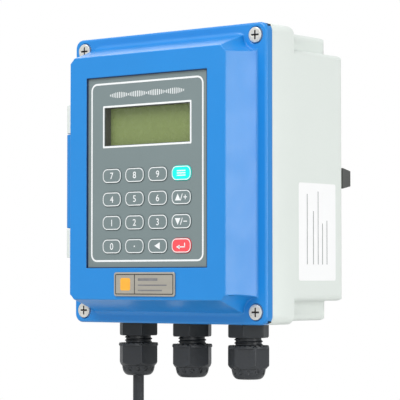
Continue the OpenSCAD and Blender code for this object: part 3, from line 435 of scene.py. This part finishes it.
def dressed(node, finish, width, segments=2, sharp_y=None, before=None, cutters=None, hollow=True):
    """A copy of a CAD node with rounded edges, which stands for the node. Before changes its mesh first."""
    mesh = bpy.data.meshes.new(node + "_finished")
    work = bmesh.new()
    work.from_mesh(frame["nodes"][node].data)
    bmesh.ops.remove_doubles(work, verts=work.verts, dist=2e-6)
    for face in work.faces:
        face.material_index = 0
    if before:
        before(work)
    work.to_mesh(mesh)
    work.free()
    mesh.materials.append(finish)
    piece = bpy.data.objects.new(node + "_finished", mesh)
    bpy.context.collection.objects.link(piece)
    if cutters:
        cut_out(piece, cutters)
    soften(piece, width, segments, sharp_y, hollow)
    body = next(b for b, names in frame["record"]["behaviour"]["bodies"].items() if node in names)
    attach(piece, body)
    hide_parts(node)
    return piece


def repaint(piece, finish, test):
    """A second material on the faces of a piece whose middle passes a test."""
    piece.data.materials.append(finish)
    for face in piece.data.polygons:
        if test(face.center / MM):
            face.material_index = len(piece.data.materials) - 1


def add_piece(shape, name, body, finishes, width=0, smooth=True):
    """Makes a shape into a piece that rides on a body."""
    piece = shape.made(name, finishes, smooth and not width)
    if width:
        soften(piece, width)
    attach(piece, body)
    return piece


def paint(node, finish):
    """A better material on a CAD node that keeps its shape."""
    for entry in frame["nodes"][node].material_slots:
        entry.material = finish


def rounded(x0, x1, z0, z1, r, steps):
    """Outline of a rectangle with round corners."""
    points = []
    for cx, cz, start in ((x1 - r, z1 - r, 0), (x0 + r, z1 - r, 90), (x0 + r, z0 + r, 180), (x1 - r, z0 + r, 270)):
        for k in range(steps + 1):
            a = math.radians(start + 90 * k / steps)
            points.append((cx + r * math.cos(a), cz + r * math.sin(a)))
    return points


def inset(sides, by):
    """A rectangle of (x0, x1, z0, z1), smaller by a margin all round."""
    x0, x1, z0, z1 = sides
    return x0 + by, x1 - by, z0 + by, z1 - by


# The lead: straight down from the left gland, wound into a tied coil, and out to its plug
lead_x, gland_y, bottom_z = -47.6, -69.0, -97.0
lead_r, layer = 3.8, 8.2
coil_y, coil_z = gland_y + 11, bottom_z - 131
coil_inner, coil_outer = 32.5, 53
first_angle, half_wind, last_wind, wind_step = 135, 900, 1845, 9
plug_x, plug_y = lead_x - layer, gland_y - 43


def coil_point(a):
    """Centre of the coiled lead after winding by a degrees, inward and then outward again."""
    r = coil_inner + (coil_outer - coil_inner) * abs(a - half_wind) / half_wind
    x = lead_x - layer * min(max((a - half_wind) / 180 + 0.5, 0), 1)
    turn = math.radians(first_angle + a)
    return Vector((x, coil_y + r * math.cos(turn), coil_z + r * math.sin(turn)))


hanging = [(0, -9), (0, -15), (0, -21), (0, -27), (0, -33), (0, -39), (0, -44), (0, -49), (0, -53.8),
           (-0.6, -60), (-2.4, -66), (-5.4, -71.6), (-9.4, -76.4), (-13.4, -80.4), (-17.2, -84.2)]
leaving = (-138, -145, -150, -156, -162, -167)
route = [Vector((lead_x, gland_y + y, bottom_z + z)) for y, z in hanging]
route += [coil_point(a) for a in range(0, last_wind + 1, wind_step)]
route += [Vector((plug_x, plug_y, bottom_z + z)) for z in leaving]
lead_curve = bpy.data.curves.new("lead", "CURVE")
lead_curve.dimensions = "3D"
lead_curve.bevel_depth = lead_r * MM
lead_curve.bevel_resolution = 5
lead_curve.use_fill_caps = True
spline = lead_curve.splines.new("POLY")
spline.points.add(len(route) - 1)
for point, at in zip(spline.points, route):
    point.co = (*(at * MM), 1)
spline.use_smooth = True
lead_curve.materials.append(CORD_BLACK)
lead = bpy.data.objects.new("lead", lead_curve)
bpy.context.collection.objects.link(lead)
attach(lead, "base")
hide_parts("cord_runs", "cord_coil")

# Plug with a ribbed strain relief, a waisted grip and a flanged face. Its profile is (radius, distance below its top)
plug_top = corners("plug_body")[1][2]
relief_ribs, rib_pitch, relief_length = 5, 3.5, 20
profile = [(0, 0), (3.9, 0), (5.0, 0.6)]
for k in range(relief_ribs):
    drop = 2.0 + rib_pitch * k
    r = 5.0 + 2.0 * drop / relief_length
    profile += [(r, drop - 0.6), (r - 0.9, drop), (r - 0.9, drop + 1.0), (r + 0.2, drop + 1.6)]
profile += [(6.95, 19.6), (7.0, 20), (9.6, 23.5), (11.1, 26.8), (11.5, 28.2), (11.7, 36), (12.1, 42), (12.5, 45.6),
            (12.9, 46.2), (13.5, 47), (13.5, 50.2), (12.8, 51), (0, 51)]
plug = Shape()
plug.lathe([(r, plug_top - drop) for r, drop in profile], (plug_x, plug_y, 0), 64)
grips, grip_ring, grip_drop = 16, 11.9, 37.5
for k in range(grips):
    a = 2 * math.pi * k / grips
    plug.lathe([(0, -6.4), (0.55, -6.1), (0.6, 6.1), (0, 6.4)],
               (plug_x + grip_ring * math.cos(a), plug_y + grip_ring * math.sin(a), plug_top - grip_drop), 8)
plug_piece = add_piece(plug, "plug_moulding", "base", [BLACK_PLASTIC])
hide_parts("plug_body")
pins_piece = dressed("plug_pins", NICKEL, 0.3)
tie_piece = dressed("cord_tie", TIE_BLACK, 0.3)

# Housing, lid, bracket and their metal parts. The flat seam between housing and lid keeps sharp edges
collar_y, lid_back_y, rim_y = -89, -89.3, -95.5
dressed("base_housing", WHITE_PLASTIC, 0.4, sharp_y=collar_y, hollow=False)
dressed("lid_housing", BLUE_PLASTIC, 0.6, 3, sharp_y=lid_back_y)

# The hollow curve at the foot of the raised front, above and below: a strip, sunk a little, that thins out at its ends
foot_z, slope_run, slope_rise = 89.6, 8.4, 22.5
cove_t, cove_end, cove_taper, cove_sunk, cove_thinnest = 2.6, 63.6, 6, 0.5, 0.02
taper_steps, cove_steps = 8, 12
open_angle = math.pi - math.atan2(slope_rise, slope_run)
stations = [-cove_end + cove_taper * (1 - math.cos(math.pi / 2 * k / taper_steps)) for k in range(taper_steps + 1)]
stations += [-x for x in reversed(stations)]
coves = Shape()
for up in (1, -1):
    rows = []
    for x in stations:
        near = min(1, (cove_end - abs(x)) / cove_taper)
        t = cove_t * math.sqrt(max(1 - (1 - near) ** 2, cove_thinnest ** 2))
        r = t * math.tan(open_angle / 2)
        turns = [(math.pi - open_angle) * j / cove_steps for j in range(cove_steps + 1)]
        rows.append([(x, rim_y + cove_sunk, up * (foot_z - cove_sunk))]
                    + [(x, rim_y - r + r * math.cos(a), up * (foot_z + t - r * math.sin(a))) for a in turns])
    coves.loft(rows)
add_piece(coves, "lid_coves", "lid", [BLUE_PLASTIC])
dressed("wall_bracket", DARK_PAINT, 0.4)
cross_from, cross_to, cross_r = 0.15, 1.3, 3.2
for node in ("lid_screw_1", "lid_screw_2", "lid_screw_3", "lid_screw_4"):
    low, high = corners(node)
    x, z = (low[0] + high[0]) / 2, (low[2] + high[2]) / 2
    screw = dressed(node, BRIGHT_STEEL, 0.22)
    # The faces of the cross recess get a dark material: painted shade of the recess
    repaint(screw, CROSS_RECESS_SHADE, lambda at: low[1] + cross_from < at[1] < low[1] + cross_to
            and math.hypot(at[0] - x, at[2] - z) < cross_r)
for node in ("bracket_screws", "board_screws", "display_screws", "screw_inserts", "hinge_pin", "snap_domes"):
    paint(node, BRASS if node == "screw_inserts" else STEEL)
for node in ("lid_gasket", "gland_seals"):
    paint(node, RUBBER)

# Cable glands: softened bodies, nuts and locknuts, their threads, the crown of each nut and the hollows in its dome
gland_xs = {"gland_nut_left": lead_x, "gland_nut_middle": 0, "gland_nut_right": -lead_x}
body_turns = {lead_x: 19.7, -lead_x: -8.6}
nut_turns = {"gland_nut_left": 19.7, "gland_nut_right": 26.8}
hex_z, nut_z = -106, corners("gland_nut_left")[1][2]
neck_r, waist_r, gland_reach = 9.2, 8.4, 20


def turned(work, x, degrees):
    """Turns what is near the gland at x about its upright axis."""
    near = [v for v in work.verts if abs(v.co.x / MM - x) < gland_reach]
    bmesh.ops.rotate(work, verts=near, cent=(x * MM, gland_y * MM, 0),
                     matrix=Matrix.Rotation(math.radians(degrees), 3, "Z"))


def waisted(work):
    """Draws the neck of each gland in where it leaves the hexagon, and turns the outer two as they were fitted."""
    for v in work.verts:
        x = min(gland_xs.values(), key=lambda c: abs(v.co.x / MM - c))
        out = Vector((v.co.x / MM - x, v.co.y / MM - gland_y))
        if abs(out.length - neck_r) < NEAR and abs(v.co.z / MM - hex_z) < 0.1:
            v.co.x, v.co.y = (x + out[0] * waist_r / neck_r) * MM, (gland_y + out[1] * waist_r / neck_r) * MM
    for x, degrees in body_turns.items():
        turned(work, x, degrees)


for node in ("gland_bodies", "gland_body_middle"):
    dressed(node, GLAND_DARK, 0.35, before=waisted)
dressed("gland_locknuts", GLAND_DARK, 0.3)
outer_thread = [(8.2, -0.2), (9.38, 0.35), (9.38, 0.75), (8.2, 1.75)]
inner_thread = [(9.8, -0.5), (10.18, -0.1), (10.18, 0.1), (9.8, 0.5)]
threads = Shape()
for x in gland_xs.values():
    threads.helix(outer_thread, x, gland_y, low=-118.0, high=-107.6, pitch=2.2)
    threads.helix(inner_thread, x, gland_y, low=-85.2, high=-84.1, pitch=1.1)
add_piece(threads, "gland_threads", "base", [GLAND_DARK])

dome_hollow = [(0, -2.3), (1.0, -1.9), (1.6, -1.1), (1.8, 0), (1.6, 1.0), (1.0, 1.6), (0, 1.9)]
hollow_step, first_hollow, hollow_ring, hollow_z = 30, -51, 12.1, -128.9
tooth_step, tooth_angle, tooth_inner, tooth_outer, tooth_sunk = 15, 9, 11.9, 13.2, 0.1
tooth_heights = (0.55, 0.55, 0.25, 0.25)
for node, x in gland_xs.items():
    hollows = Shape()
    crown = Shape()
    for degrees in range(0, 360, hollow_step):
        a = math.radians(degrees + first_hollow)
        hollows.lathe(dome_hollow, (x + hollow_ring * math.cos(a), gland_y + hollow_ring * math.sin(a), hollow_z), 12)
    for degrees in range(0, 360, tooth_step):
        ring = [(x + r * math.cos(a), gland_y + r * math.sin(a))
                for a in (math.radians(degrees), math.radians(degrees + tooth_angle))
                for r in (tooth_inner, tooth_outer)]
        crown.add([(*at, nut_z - tooth_sunk) for at in ring]
                  + [(*at, nut_z + h) for at, h in zip(ring, tooth_heights)], BOX_FACES)
    dressed(node, GLAND_BLACK, 0.3, cutters=hollows,
            before=lambda work, x=x, node=node: turned(work, x, nut_turns.get(node, 0)))
    add_piece(crown, node + "_crown", node, [GLAND_BLACK], smooth=False)

# Keypad film with its printed lines: its frame, that of the window, and a wave of ticks in the place of the title
front_y = corners("keypad_film")[0][1]
film_recess = (-51.68, 51.68, -60.18, 66.78)
film_frame, window_frame, frame_line = (-48.6, 48.0, -56.2, 62.9), (-38.1, 38.0, 19.5, 47.6), 1.2
paint("keypad_film", FILM_GREY)
prints = Shape()
prints.band(rounded(*film_frame, 5, 8), rounded(*inset(film_frame, frame_line), 3.8, 8), front_y, INK)
prints.band(rounded(*window_frame, 0.6, 2), rounded(*inset(window_frame, frame_line), 0.2, 2), front_y, INK)
# Painted shade: navy bands on the walls of the keypad recess and round the film's edge stand for the shadow in the gap
# between film and lid
recess_shade_bands = Shape()
for line, depth in ((0.18, 1.35), (0.43, 0.04)):
    recess_shade_bands.band(rounded(*film_recess, 0.2, 2), rounded(*inset(film_recess, line), 0.2, 2), front_y - 0.01, depth)
add_piece(recess_shade_bands, "film_edging_painted_shade", "lid", [RECESS_SHADE_NAVY], smooth=False)
ticks, waves, wave_x, wave_z, tick_half = 41, 4, 31.5, 54.4, 0.32
for k in range(ticks):
    share = k / (ticks - 1)
    x = wave_x * (2 * share - 1)
    swing = abs(math.sin(math.pi * waves * share)) * 1.3 + 0.7
    prints.prism(rounded(x - tick_half, x + tick_half, wave_z - swing, wave_z + swing, 0.15, 1), front_y, INK)
add_piece(prints, "film_print", "lid", [PRINT_WHITE], smooth=False)


def letter(shape, text, size, x, y, z):
    """Adds a digit to a shape as a thin print, centred at x and z and standing forward of y."""
    words = bpy.data.curves.new("letter", "FONT")
    words.body = text
    words.size = size
    words.offset = 0.004 * size
    holder = bpy.data.objects.new("letter", words)
    bpy.context.collection.objects.link(holder)
    mesh = holder.to_mesh()
    middle = [(min(v.co[i] for v in mesh.vertices) + max(v.co[i] for v in mesh.vertices)) / 2 for i in (0, 1)]
    shape.add([(x + v.co[0] - middle[0], y - INK, z + v.co[1] - middle[1]) for v in mesh.vertices],
              [list(f.vertices) for f in mesh.polygons])
    holder.to_mesh_clear()
    bpy.data.objects.remove(holder)
    bpy.data.curves.remove(words)


def arrow(x, z, way, size):
    """Outline of a solid arrowhead that points up, down or left."""
    shape = {"up": [(-0.55, -0.5), (0.55, -0.5), (0, 0.55)], "down": [(-0.55, 0.5), (0, -0.55), (0.55, 0.5)],
             "left": [(0.5, -0.55), (0.5, 0.55), (-0.6, 0)]}[way]
    return [(x + size * u, z + size * v) for u, v in shape]


def stroke(x0, z0, x1, z1, w):
    """Outline of a straight printed stroke."""
    length = math.hypot(x1 - x0, z1 - z0)
    u, v = -(z1 - z0) / length * w / 2, (x1 - x0) / length * w / 2
    return [(x0 + u, z0 + v), (x1 + u, z1 + v), (x1 - u, z1 - v), (x0 - u, z0 - v)]


# Keys: softened caps, each with a printed ring and a sign. The symbols are outlines round the middle of their key
slash, dash = stroke(-0.6, -2.2, 1.0, 2.2, 0.55), stroke(1.9, 0, 4.9, 0, 0.6)
symbols = {
    "key_dot": [rounded(-0.5, 0.5, -0.6, 0.4, 0.4, 3)],
    "key_left": [arrow(-0.2, 0, "left", 4.2)],
    "key_up": [arrow(-2.9, 0, "up", 4.2), slash, dash, stroke(3.4, -1.5, 3.4, -0.31, 0.6),
               stroke(3.4, 0.31, 3.4, 1.5, 0.6)],
    "key_down": [arrow(-2.9, 0, "down", 4.2), slash, dash],
    "key_menu": [stroke(-3.6, bar, 3.6, bar, 0.75) for bar in (-1.5, 0, 1.5)],
    "key_enter": [stroke(-2.2, -0.9, 2.9, -0.9, 0.7), stroke(2.9, -1.25, 2.9, 1.8, 0.7),
                  arrow(-2.6, -0.9, "left", 2.6)]}
key_tints = {"key_menu": KEY_CYAN, "key_enter": KEY_RED}
key_margin, key_corner, digit_size = 0.9, 4, 6.2
for node in [n for n in frame["nodes"] if n.startswith("key_")]:
    low, high = corners(node)
    x, y, z = (low[0] + high[0]) / 2, low[1], (low[2] + high[2]) / 2
    dressed(node, key_tints.get(node, KEY_GREY), 0.22)
    cap = inset((low[0], high[0], low[2], high[2]), key_margin)
    ink = Shape()
    ink.band(*(rounded(*inset(cap, gap), key_corner - gap, 8) for gap in (0.25, 0.78)), y, INK)
    for outline in symbols.get(node, []):
        ink.prism([(x + u, z + v) for u, v in outline], y, INK)
    if node not in symbols:
        letter(ink, node[len("key_"):], digit_size, x, y, z)
    add_piece(ink, node + "_print", node, [PRINT_WHITE], smooth=False)

# Window: a dark liner, the display glass and the clear lens
lens_y, bezel_y = corners("window_lens")[0][1], corners("display_bezel")[0][1]
window, liner_back = (-36.7, 36.7, 20.9, 46.3), bezel_y + 0.9
liner = Shape()
liner.band(rounded(*inset(window, -0.02), 0.2, 2), rounded(*inset(window, 0.25), 0.2, 2), liner_back,
           liner_back - lens_y - 0.05)
add_piece(liner, "window_liner", "lid", [LINER], smooth=False)
paint("window_lens", CLEAR)
paint("display_bezel", BEZEL_STEEL)
paint("display_panel", DISPLAY)

# Metal plate below the keypad: bare, with a border, a divider, a plain enamelled field and ruled lines
plate_y = corners("front_plate")[0][1]
plate_border, border_line, rule_x = (-24.9, 24.9, -77.7, -64.3), 0.6, -5.2
dressed("front_plate", PLATE_METAL, 0.25)
plate = Shape()
plate.band(rounded(*plate_border, 1.1, 4), rounded(*inset(plate_border, border_line), 0.6, 4), plate_y, INK)
plate.prism(stroke(-8.1, -77.1, -8.1, -64.9, border_line), plate_y, INK)
plate.prism(rounded(-20.4, -11.8, -75.1, -66.9, 1.4, 4), plate_y, INK, 1)
for x, z, width in ((11.6, -67.9, 1.7), (19.4, -71.6, 0.9), (15.4, -75.0, 0.9)):
    plate.prism(stroke(rule_x, z, x, z, width), plate_y, INK, 2)
add_piece(plate, "plate_print", "lid", [DARK_INK_AND_SLOT_SHADE, AMBER, GREY_INK], smooth=False)

# Blank label with ruled lines on the right side
side_x = corners("base_housing")[1][0]
label_outline, rule_z, rule_half = rounded(-60.8, -19.4, -68.6, -4.7, 1.5, 5), -58, 0.32
label = Shape()
label.loft([[(x, y, z) for y, z in label_outline] for x in (side_x - 0.02, side_x + 0.04)])
for y, top in ((-51.5, -12), (-44.6, -23), (-39.3, -10), (-34.3, -31), (-29.3, -29)):
    label.box((side_x + 0.03, y - rule_half, rule_z), (side_x + 0.06, y + rule_half, top), 1)
add_piece(label, "side_label", "base", [LABEL_WHITE, GREY_INK], smooth=False)

# Inside: boards with their tracks, the supply, terminals, relays and chips
board_y = corners("main_board")[0][1]
for node in ("main_board", "display_board", "keypad_board"):
    paint(node, MASK_GREEN)
for node, finish, width in (("power_module", BLACK_PLASTIC, 0.4), ("relays", RELAY_BLUE, 0.6),
                            ("power_terminals", GREEN_PLASTIC, 0.3), ("signal_terminals", GREEN_PLASTIC, 0.25),
                            ("board_chips", BLACK_PLASTIC, 0.2), ("capacitors", SLEEVE, 0.3)):
    dressed(node, finish, width)


def disc(x, z, r, steps=24):
    """Outline of a round piece."""
    turns = [2 * math.pi * k / steps for k in range(steps)]
    return [(x + r * math.cos(a), z + r * math.sin(a)) for a in turns]


# Tracks as (points, width), a pad at each end of them, and the rings of the board's screws
track_lines = [
    ([(-53.5, -48), (-53.5, -40), (-48, -34.5)], 2.4),
    ([(-44, -48), (-44, -43), (-20, -43), (-12, -35), (-12, 30), (4, 46)], 2),
    ([(-34.5, -48), (-34.5, -46), (-17, -46), (-8, -37), (-8, 24), (6, 33)], 1.6),
    ([(-25, -32), (-21, -28), (-21, 16), (-27, 22), (-27, 56)], 1.6),
    ([(-17, 50), (-4, 50), (2, 56)], 1.8),
    ([(2, -17), (2, -6), (8, 0), (8, 3.5)], 0.7),
    ([(22, -17), (22, 0), (29, 7), (29, 12)], 0.7),
    ([(42, -17), (42, -2), (34, 3.5)], 0.7),
    ([(16, 8), (26, 8)], 0.6),
    ([(-8, 9), (4, 9)], 0.6),
    ([(-8, 6.5), (4, 6.5)], 0.6),
    ([(-8, 4), (0, 4), (4, 6)], 0.6),
    ([(-24, 9), (-32, 9), (-42, 24)], 0.6),
    ([(-24, 6.5), (-33, 6.5), (-43, 21)], 0.6),
    ([(-24, 4), (-34, 4), (-43, 14), (-43, 19)], 0.6),
    ([(-36, 0.5), (-36, 6), (-30, 11), (-24, 11)], 0.6)]
track_lines += [([(x, -50), (x, -44), (x - 3, -38)], 0.9) for x in (3, 8, 13, 18, 23, 34, 39, 44, 49)]
track_y, track_t, pad_t, ring_t, pad_rim = board_y + 0.01, 0.04, 0.06, 0.05, 0.7
tracks = Shape()
for line, width in track_lines:
    for (x0, z0), (x1, z1) in zip(line, line[1:]):
        tracks.prism(stroke(x0, z0, x1, z1, width), track_y, track_t)
    for x, z in line[1:-1]:
        tracks.prism(disc(x, z, width / 2, 12), track_y, track_t)
    for x, z in (line[0], line[-1]):
        tracks.prism(disc(x, z, width / 2 + pad_rim, 16), track_y, pad_t, 1)
for x in (-57, 57):
    for z in (-65, 73):
        tracks.band(disc(x, z, 3.9), disc(x, z, 2.9), track_y, ring_t, 1)
add_piece(tracks, "board_tracks", "base", [TRACE_GREEN, TIN], smooth=False)

pins = Shape()
pin_half, pin_t = 0.22, 0.15


def pin_row(start, step, count, out):
    """A row of chip pins, each stepping down from the chip to the board in the direction out."""
    across = Vector((step[0], 0, step[1])).normalized() * pin_half
    along = Vector((out[0], 0, out[1]))
    line = [(0, -1.0), (0.5, -1.0), (0.8, -0.15), (1.5, -0.15)]
    for k in range(count):
        at = Vector((start[0] + k * step[0], board_y, start[1] + k * step[1]))
        for (a, h), (b, g) in zip(line, line[1:]):
            quad = [at + along * a + Vector((0, h, 0)), at + along * b + Vector((0, g, 0))]
            pins.add([q + side * across - Vector((0, t, 0)) for q in quad for side in (-1, 1) for t in (0, pin_t)],
                     BOX_FACES)


pin_row((-22, -1), (1, 0), 13, (0, -1))
pin_row((-22, 13), (1, 0), 13, (0, 1))
pin_row((-23, 0), (0, 1), 13, (-1, 0))
pin_row((-9, 0), (0, 1), 13, (1, 0))
for x in (6.0, 28.0):
    pin_row((x, 4.25), (1.15, 0), 8, (0, -1))
    pin_row((x, 11.75), (1.15, 0), 8, (0, 1))
pin_row((-41, -7.2), (0, 1.27), 6, (-1, 0))
pin_row((-35, -7.2), (0, 1.27), 6, (1, 0))
for x in (2, 22, 42):
    for dz in (-10.2, 10.2):
        pins.prism(disc(x, -28 + dz, 0.8, 12), board_y, 0.5)
add_piece(pins, "chip_pins", "base", [TIN], smooth=False)

# Screws of the terminals, and the scored tops of the capacitors. The slots and the scores are thin dark strokes:
# painted shade of the grooves
screw_z, screw_t, slot_shade_t = -55, 0.9, 0.03
power_screws, signal_screws = (-53.5, -44, -34.5), [c + 5 * k - 12.5 for c in (13, 44) for k in range(6)]
metal = Shape()
for xs, r, y in ((power_screws, 2.2, -34.2), (signal_screws, 1.65, -31.2)):
    for x in xs:
        metal.prism(disc(x, screw_z, r), y + 0.1, screw_t)
        metal.prism(stroke(x - r * 0.8, screw_z - 0.4, x + r * 0.8, screw_z + 0.4, r * 0.3), y - 0.79, slot_shade_t, 1)
top_y, top_r, score_half = -39.19, 3.9, 3.2
for x, z in ((-12, 62), (-12, 49), (-25, 62)):
    metal.prism(disc(x, z, top_r), top_y, 0.05, 2)
    for u, v in ((score_half, 0), (0, score_half)):
        metal.prism(stroke(x - u, z - v, x + u, z + v, 0.3), top_y - 0.04, slot_shade_t, 1)
add_piece(metal, "board_metal", "base", [STEEL, DARK_INK_AND_SLOT_SHADE, ALUMINIUM], smooth=False)

# The glass fuse in its holder
tube_front_y = -30.5


def without_tube(work):
    """Leaves only the holder of the fuse, which is the lower of its two solids."""
    seen, tube = set(), []
    for start in work.verts:
        if start in seen:
            continue
        group, queue = [], [start]
        seen.add(start)
        while queue:
            v = queue.pop()
            group.append(v)
            for e in v.link_edges:
                other = e.other_vert(v)
                if other not in seen:
                    seen.add(other)
                    queue.append(other)
        if min(v.co.y for v in group) < tube_front_y * MM:
            tube += group
    bmesh.ops.delete(work, geom=tube, context="VERTS")


dressed("fuse", BLACK_PLASTIC, 0.3, before=without_tube)
fuse_y, fuse_z = -28.5, -32
end_cap = [(0, 0), (2.4, 0), (2.6, 0.2), (2.6, 5), (2.45, 5.1), (0, 5.1)]
fuse = Shape()
for x, way in ((-46, 1), (-26, -1)):
    fuse.lathe(end_cap, (x, fuse_y, fuse_z), 28, (way, 0, 0))
fuse.lathe([(2.4, 5), (2.4, 15)], (-46, fuse_y, fuse_z), 28, (1, 0, 0), 1)
fuse.tube([(-41.2, fuse_y, fuse_z), (-36, fuse_y - 0.1, fuse_z - 0.1), (-30.8, fuse_y, fuse_z)], [0.15] * 3, 6)
add_piece(fuse, "glass_fuse", "base", [NICKEL, CLEAR])

# Stripped end of the lead with its three cores, which run on smooth curves to the terminals of the supply
core_r, core_ring, core_z, core_steps = 1.2, 1.5, -78.4, 24
terminal, rise, fall = Vector((-44, -30.2, -59.05)), Vector((0, 0, 12)), Vector((0, 0, 14))
cores = Shape()
cores.tube([(lead_x, gland_y, z) for z in (-106, -98, -90, -84, -79, -78.3)], [lead_r] * 5 + [3.5], 24)
for k, (degrees, dx) in enumerate(((210, -9.5), (90, 0), (330, 9.5))):
    angle = math.radians(degrees)
    a = Vector((lead_x + core_ring * math.cos(angle), gland_y + core_ring * math.sin(angle), core_z))
    d = terminal + Vector((dx, 0, 0))
    b, c = a + rise, d - fall
    curve = [(1 - t) ** 3 * a + 3 * (1 - t) ** 2 * t * b + 3 * (1 - t) * t * t * c + t ** 3 * d
             for t in [i / core_steps for i in range(core_steps + 1)]]
    cores.tube(curve, [core_r] * len(curve), 12, k + 1)
cores_piece = add_piece(cores, "stripped_lead", "base", [CORD_BLACK, CORE_BLACK, CORE_GREEN, CORE_WHITE])
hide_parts("mains_wires")

# The flat cable with its plug on the main board
cable_low, cable_high, wires, cable_x = 25.5, 50.5, 20, -68.9


def flat_cable(path, thick):
    """A flat cable along points of (x, y), its wires side by side and thin between them. The last wire is marked."""
    pitch = (cable_high - cable_low) / wires
    thin = thick / 2 * 0.45
    rim = [(cable_low + pitch * (w + f), thick / 2 if f else thin, w) for w in range(wires) for f in (0, 0.25, 0.75)]
    rim.append((cable_high, thin, wires - 1))
    rows = []
    for k, at in enumerate(path):
        way = (Vector(path[min(k + 1, len(path) - 1)]) - Vector(path[max(k - 1, 0)])).normalized()
        side = Vector((-way[1], way[0]))
        rows.append([(*(Vector(at) + side * h), z) for z, h, _ in rim]
                    + [(*(Vector(at) - side * h), z) for z, h, _ in reversed(rim)])
    marked = [int(wire == wires - 1) for _, _, wire in rim]
    shape = Shape()
    shape.loft(rows)
    shape.slots = (marked + marked[::-1]) * (len(rows) - 1) + [0, 0]
    return shape


def bent(centre, r, start, end, steps=8):
    """Points of (x, y) on an arc between two angles in degrees."""
    turns = [math.radians(start + (end - start) * k / steps) for k in range(steps + 1)]
    return [(centre[0] + r * math.cos(a), centre[1] + r * math.sin(a)) for a in turns]


run = [(-48, -34), (-48, -41)] + bent((-56, -48), 8, 0, -90) + [(-58, -56)] + bent((-60.9, -64), 8, 90, 180)
run += [(cable_x, y) for y in (-72, -80, -86.5)]
ribbon = flat_cable(run, 1.1)
ribbon.box((-52, -31.5, 22), (-44, -23.2, 54), 2)
ribbon.box((-51, -34.2, 24.5), (-45, -31.4, 51.5), 2)
for z in (22, 52.2):
    ribbon.box((-50, -34.2, z), (-46, -31.0, z + 1.8), 2)
ribbon_piece = add_piece(ribbon, "flat_cable", "base", [RIBBON, RIBBON_RED, BLACK_PLASTIC],
                         smooth=False)
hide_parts("ribbon_cable")

# Its last stretch, and the plug on the display board
straight = [(cable_x, -85.5 - 0.5 * k) for k in range(14)]
crossing = flat_cable(straight + bent((-62.9, -92.4), 6, 180, 270, 14) + [(-54, -98.4), (-41, -98.4)], 1.0)
crossing_piece = crossing.made("flat_cable_crossing", [RIBBON, RIBBON_RED], False)
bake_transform(crossing_piece)
display_plug = Shape()
display_plug.box((-42, -102.4, 24), (-35, -96.6, 52))
add_piece(display_plug, "display_plug", "lid", [BLACK_PLASTIC], 0.3)

# The floor, the lights and the room
floor_r, floor_sides, floor_gap = 2400, 72, 0.001
floor_mesh = Shape()
floor_mesh.add([(x, y, 0) for x, y in disc(0, 0, floor_r, floor_sides)], [list(range(floor_sides))])
floor = floor_mesh.made("floor", [material("floor_pale", (0.6, 0.6, 0.59), 0.7, 0.01, 2, 0.0, 50)], False)
floor.location.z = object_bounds()[0][2] - floor_gap

# The camera sees a white room, while the light of the room grows from below upward
world = bpy.data.worlds.new("room")
bpy.context.scene.world = world
world.use_nodes = True
tree = world.node_tree
seen = tree.nodes.new("ShaderNodeBackground")
seen.inputs["Color"].default_value = (1, 1, 1, 1)
seen.inputs["Strength"].default_value = 1.0
lighting = tree.nodes["Background"]
lighting.inputs["Color"].default_value = (0.97, 0.985, 1, 1)
upward = tree.nodes.new("ShaderNodeSeparateXYZ")
tree.links.new(tree.nodes.new("ShaderNodeTexCoord").outputs["Generated"], upward.inputs["Vector"])
above = tree.nodes.new("ShaderNodeMapRange")
for name, number in (("From Min", -0.35), ("From Max", 0.25), ("To Min", 0.34), ("To Max", 0.66)):
    above.inputs[name].default_value = number
tree.links.new(upward.outputs["Z"], above.inputs["Value"])
tree.links.new(above.outputs["Result"], lighting.inputs["Strength"])
path = tree.nodes.new("ShaderNodeLightPath")
either = tree.nodes.new("ShaderNodeMixShader")
tree.links.new(path.outputs["Is Camera Ray"], either.inputs["Fac"])
tree.links.new(lighting.outputs["Background"], either.inputs[1])
tree.links.new(seen.outputs["Background"], either.inputs[2])
tree.links.new(either.outputs["Shader"], tree.nodes["World Output"].inputs["Surface"])


middle = Vector((0, -0.08, 0))


def softbox(name, place, width, height, power):
    """A soft rectangular studio light that faces the middle of the meter."""
    light = bpy.data.lights.new(name, "AREA")
    light.shape = "RECTANGLE"
    light.size = width
    light.size_y = height
    light.energy = power
    lamp = bpy.data.objects.new(name, light)
    lamp.location = place
    lamp.rotation_euler = (Vector(place) - middle).to_track_quat("Z", "Y").to_euler()
    bpy.context.collection.objects.link(lamp)


softbox("key_light", (-0.3, -1.4, 1.6), 1.4, 1.4, 32)
softbox("side_light", (1.3, 0.06, 0.0), 0.35, 0.9, 5.6)
softbox("back_low_light", (-0.93, 0.85, -0.75), 0.8, 0.8, 4)
softbox("back_high_light", (-0.93, 0.85, 0.75), 0.8, 0.8, 3)
softbox("fill_light", (1.0, -1.2, 0.0), 0.7, 0.5, 3)
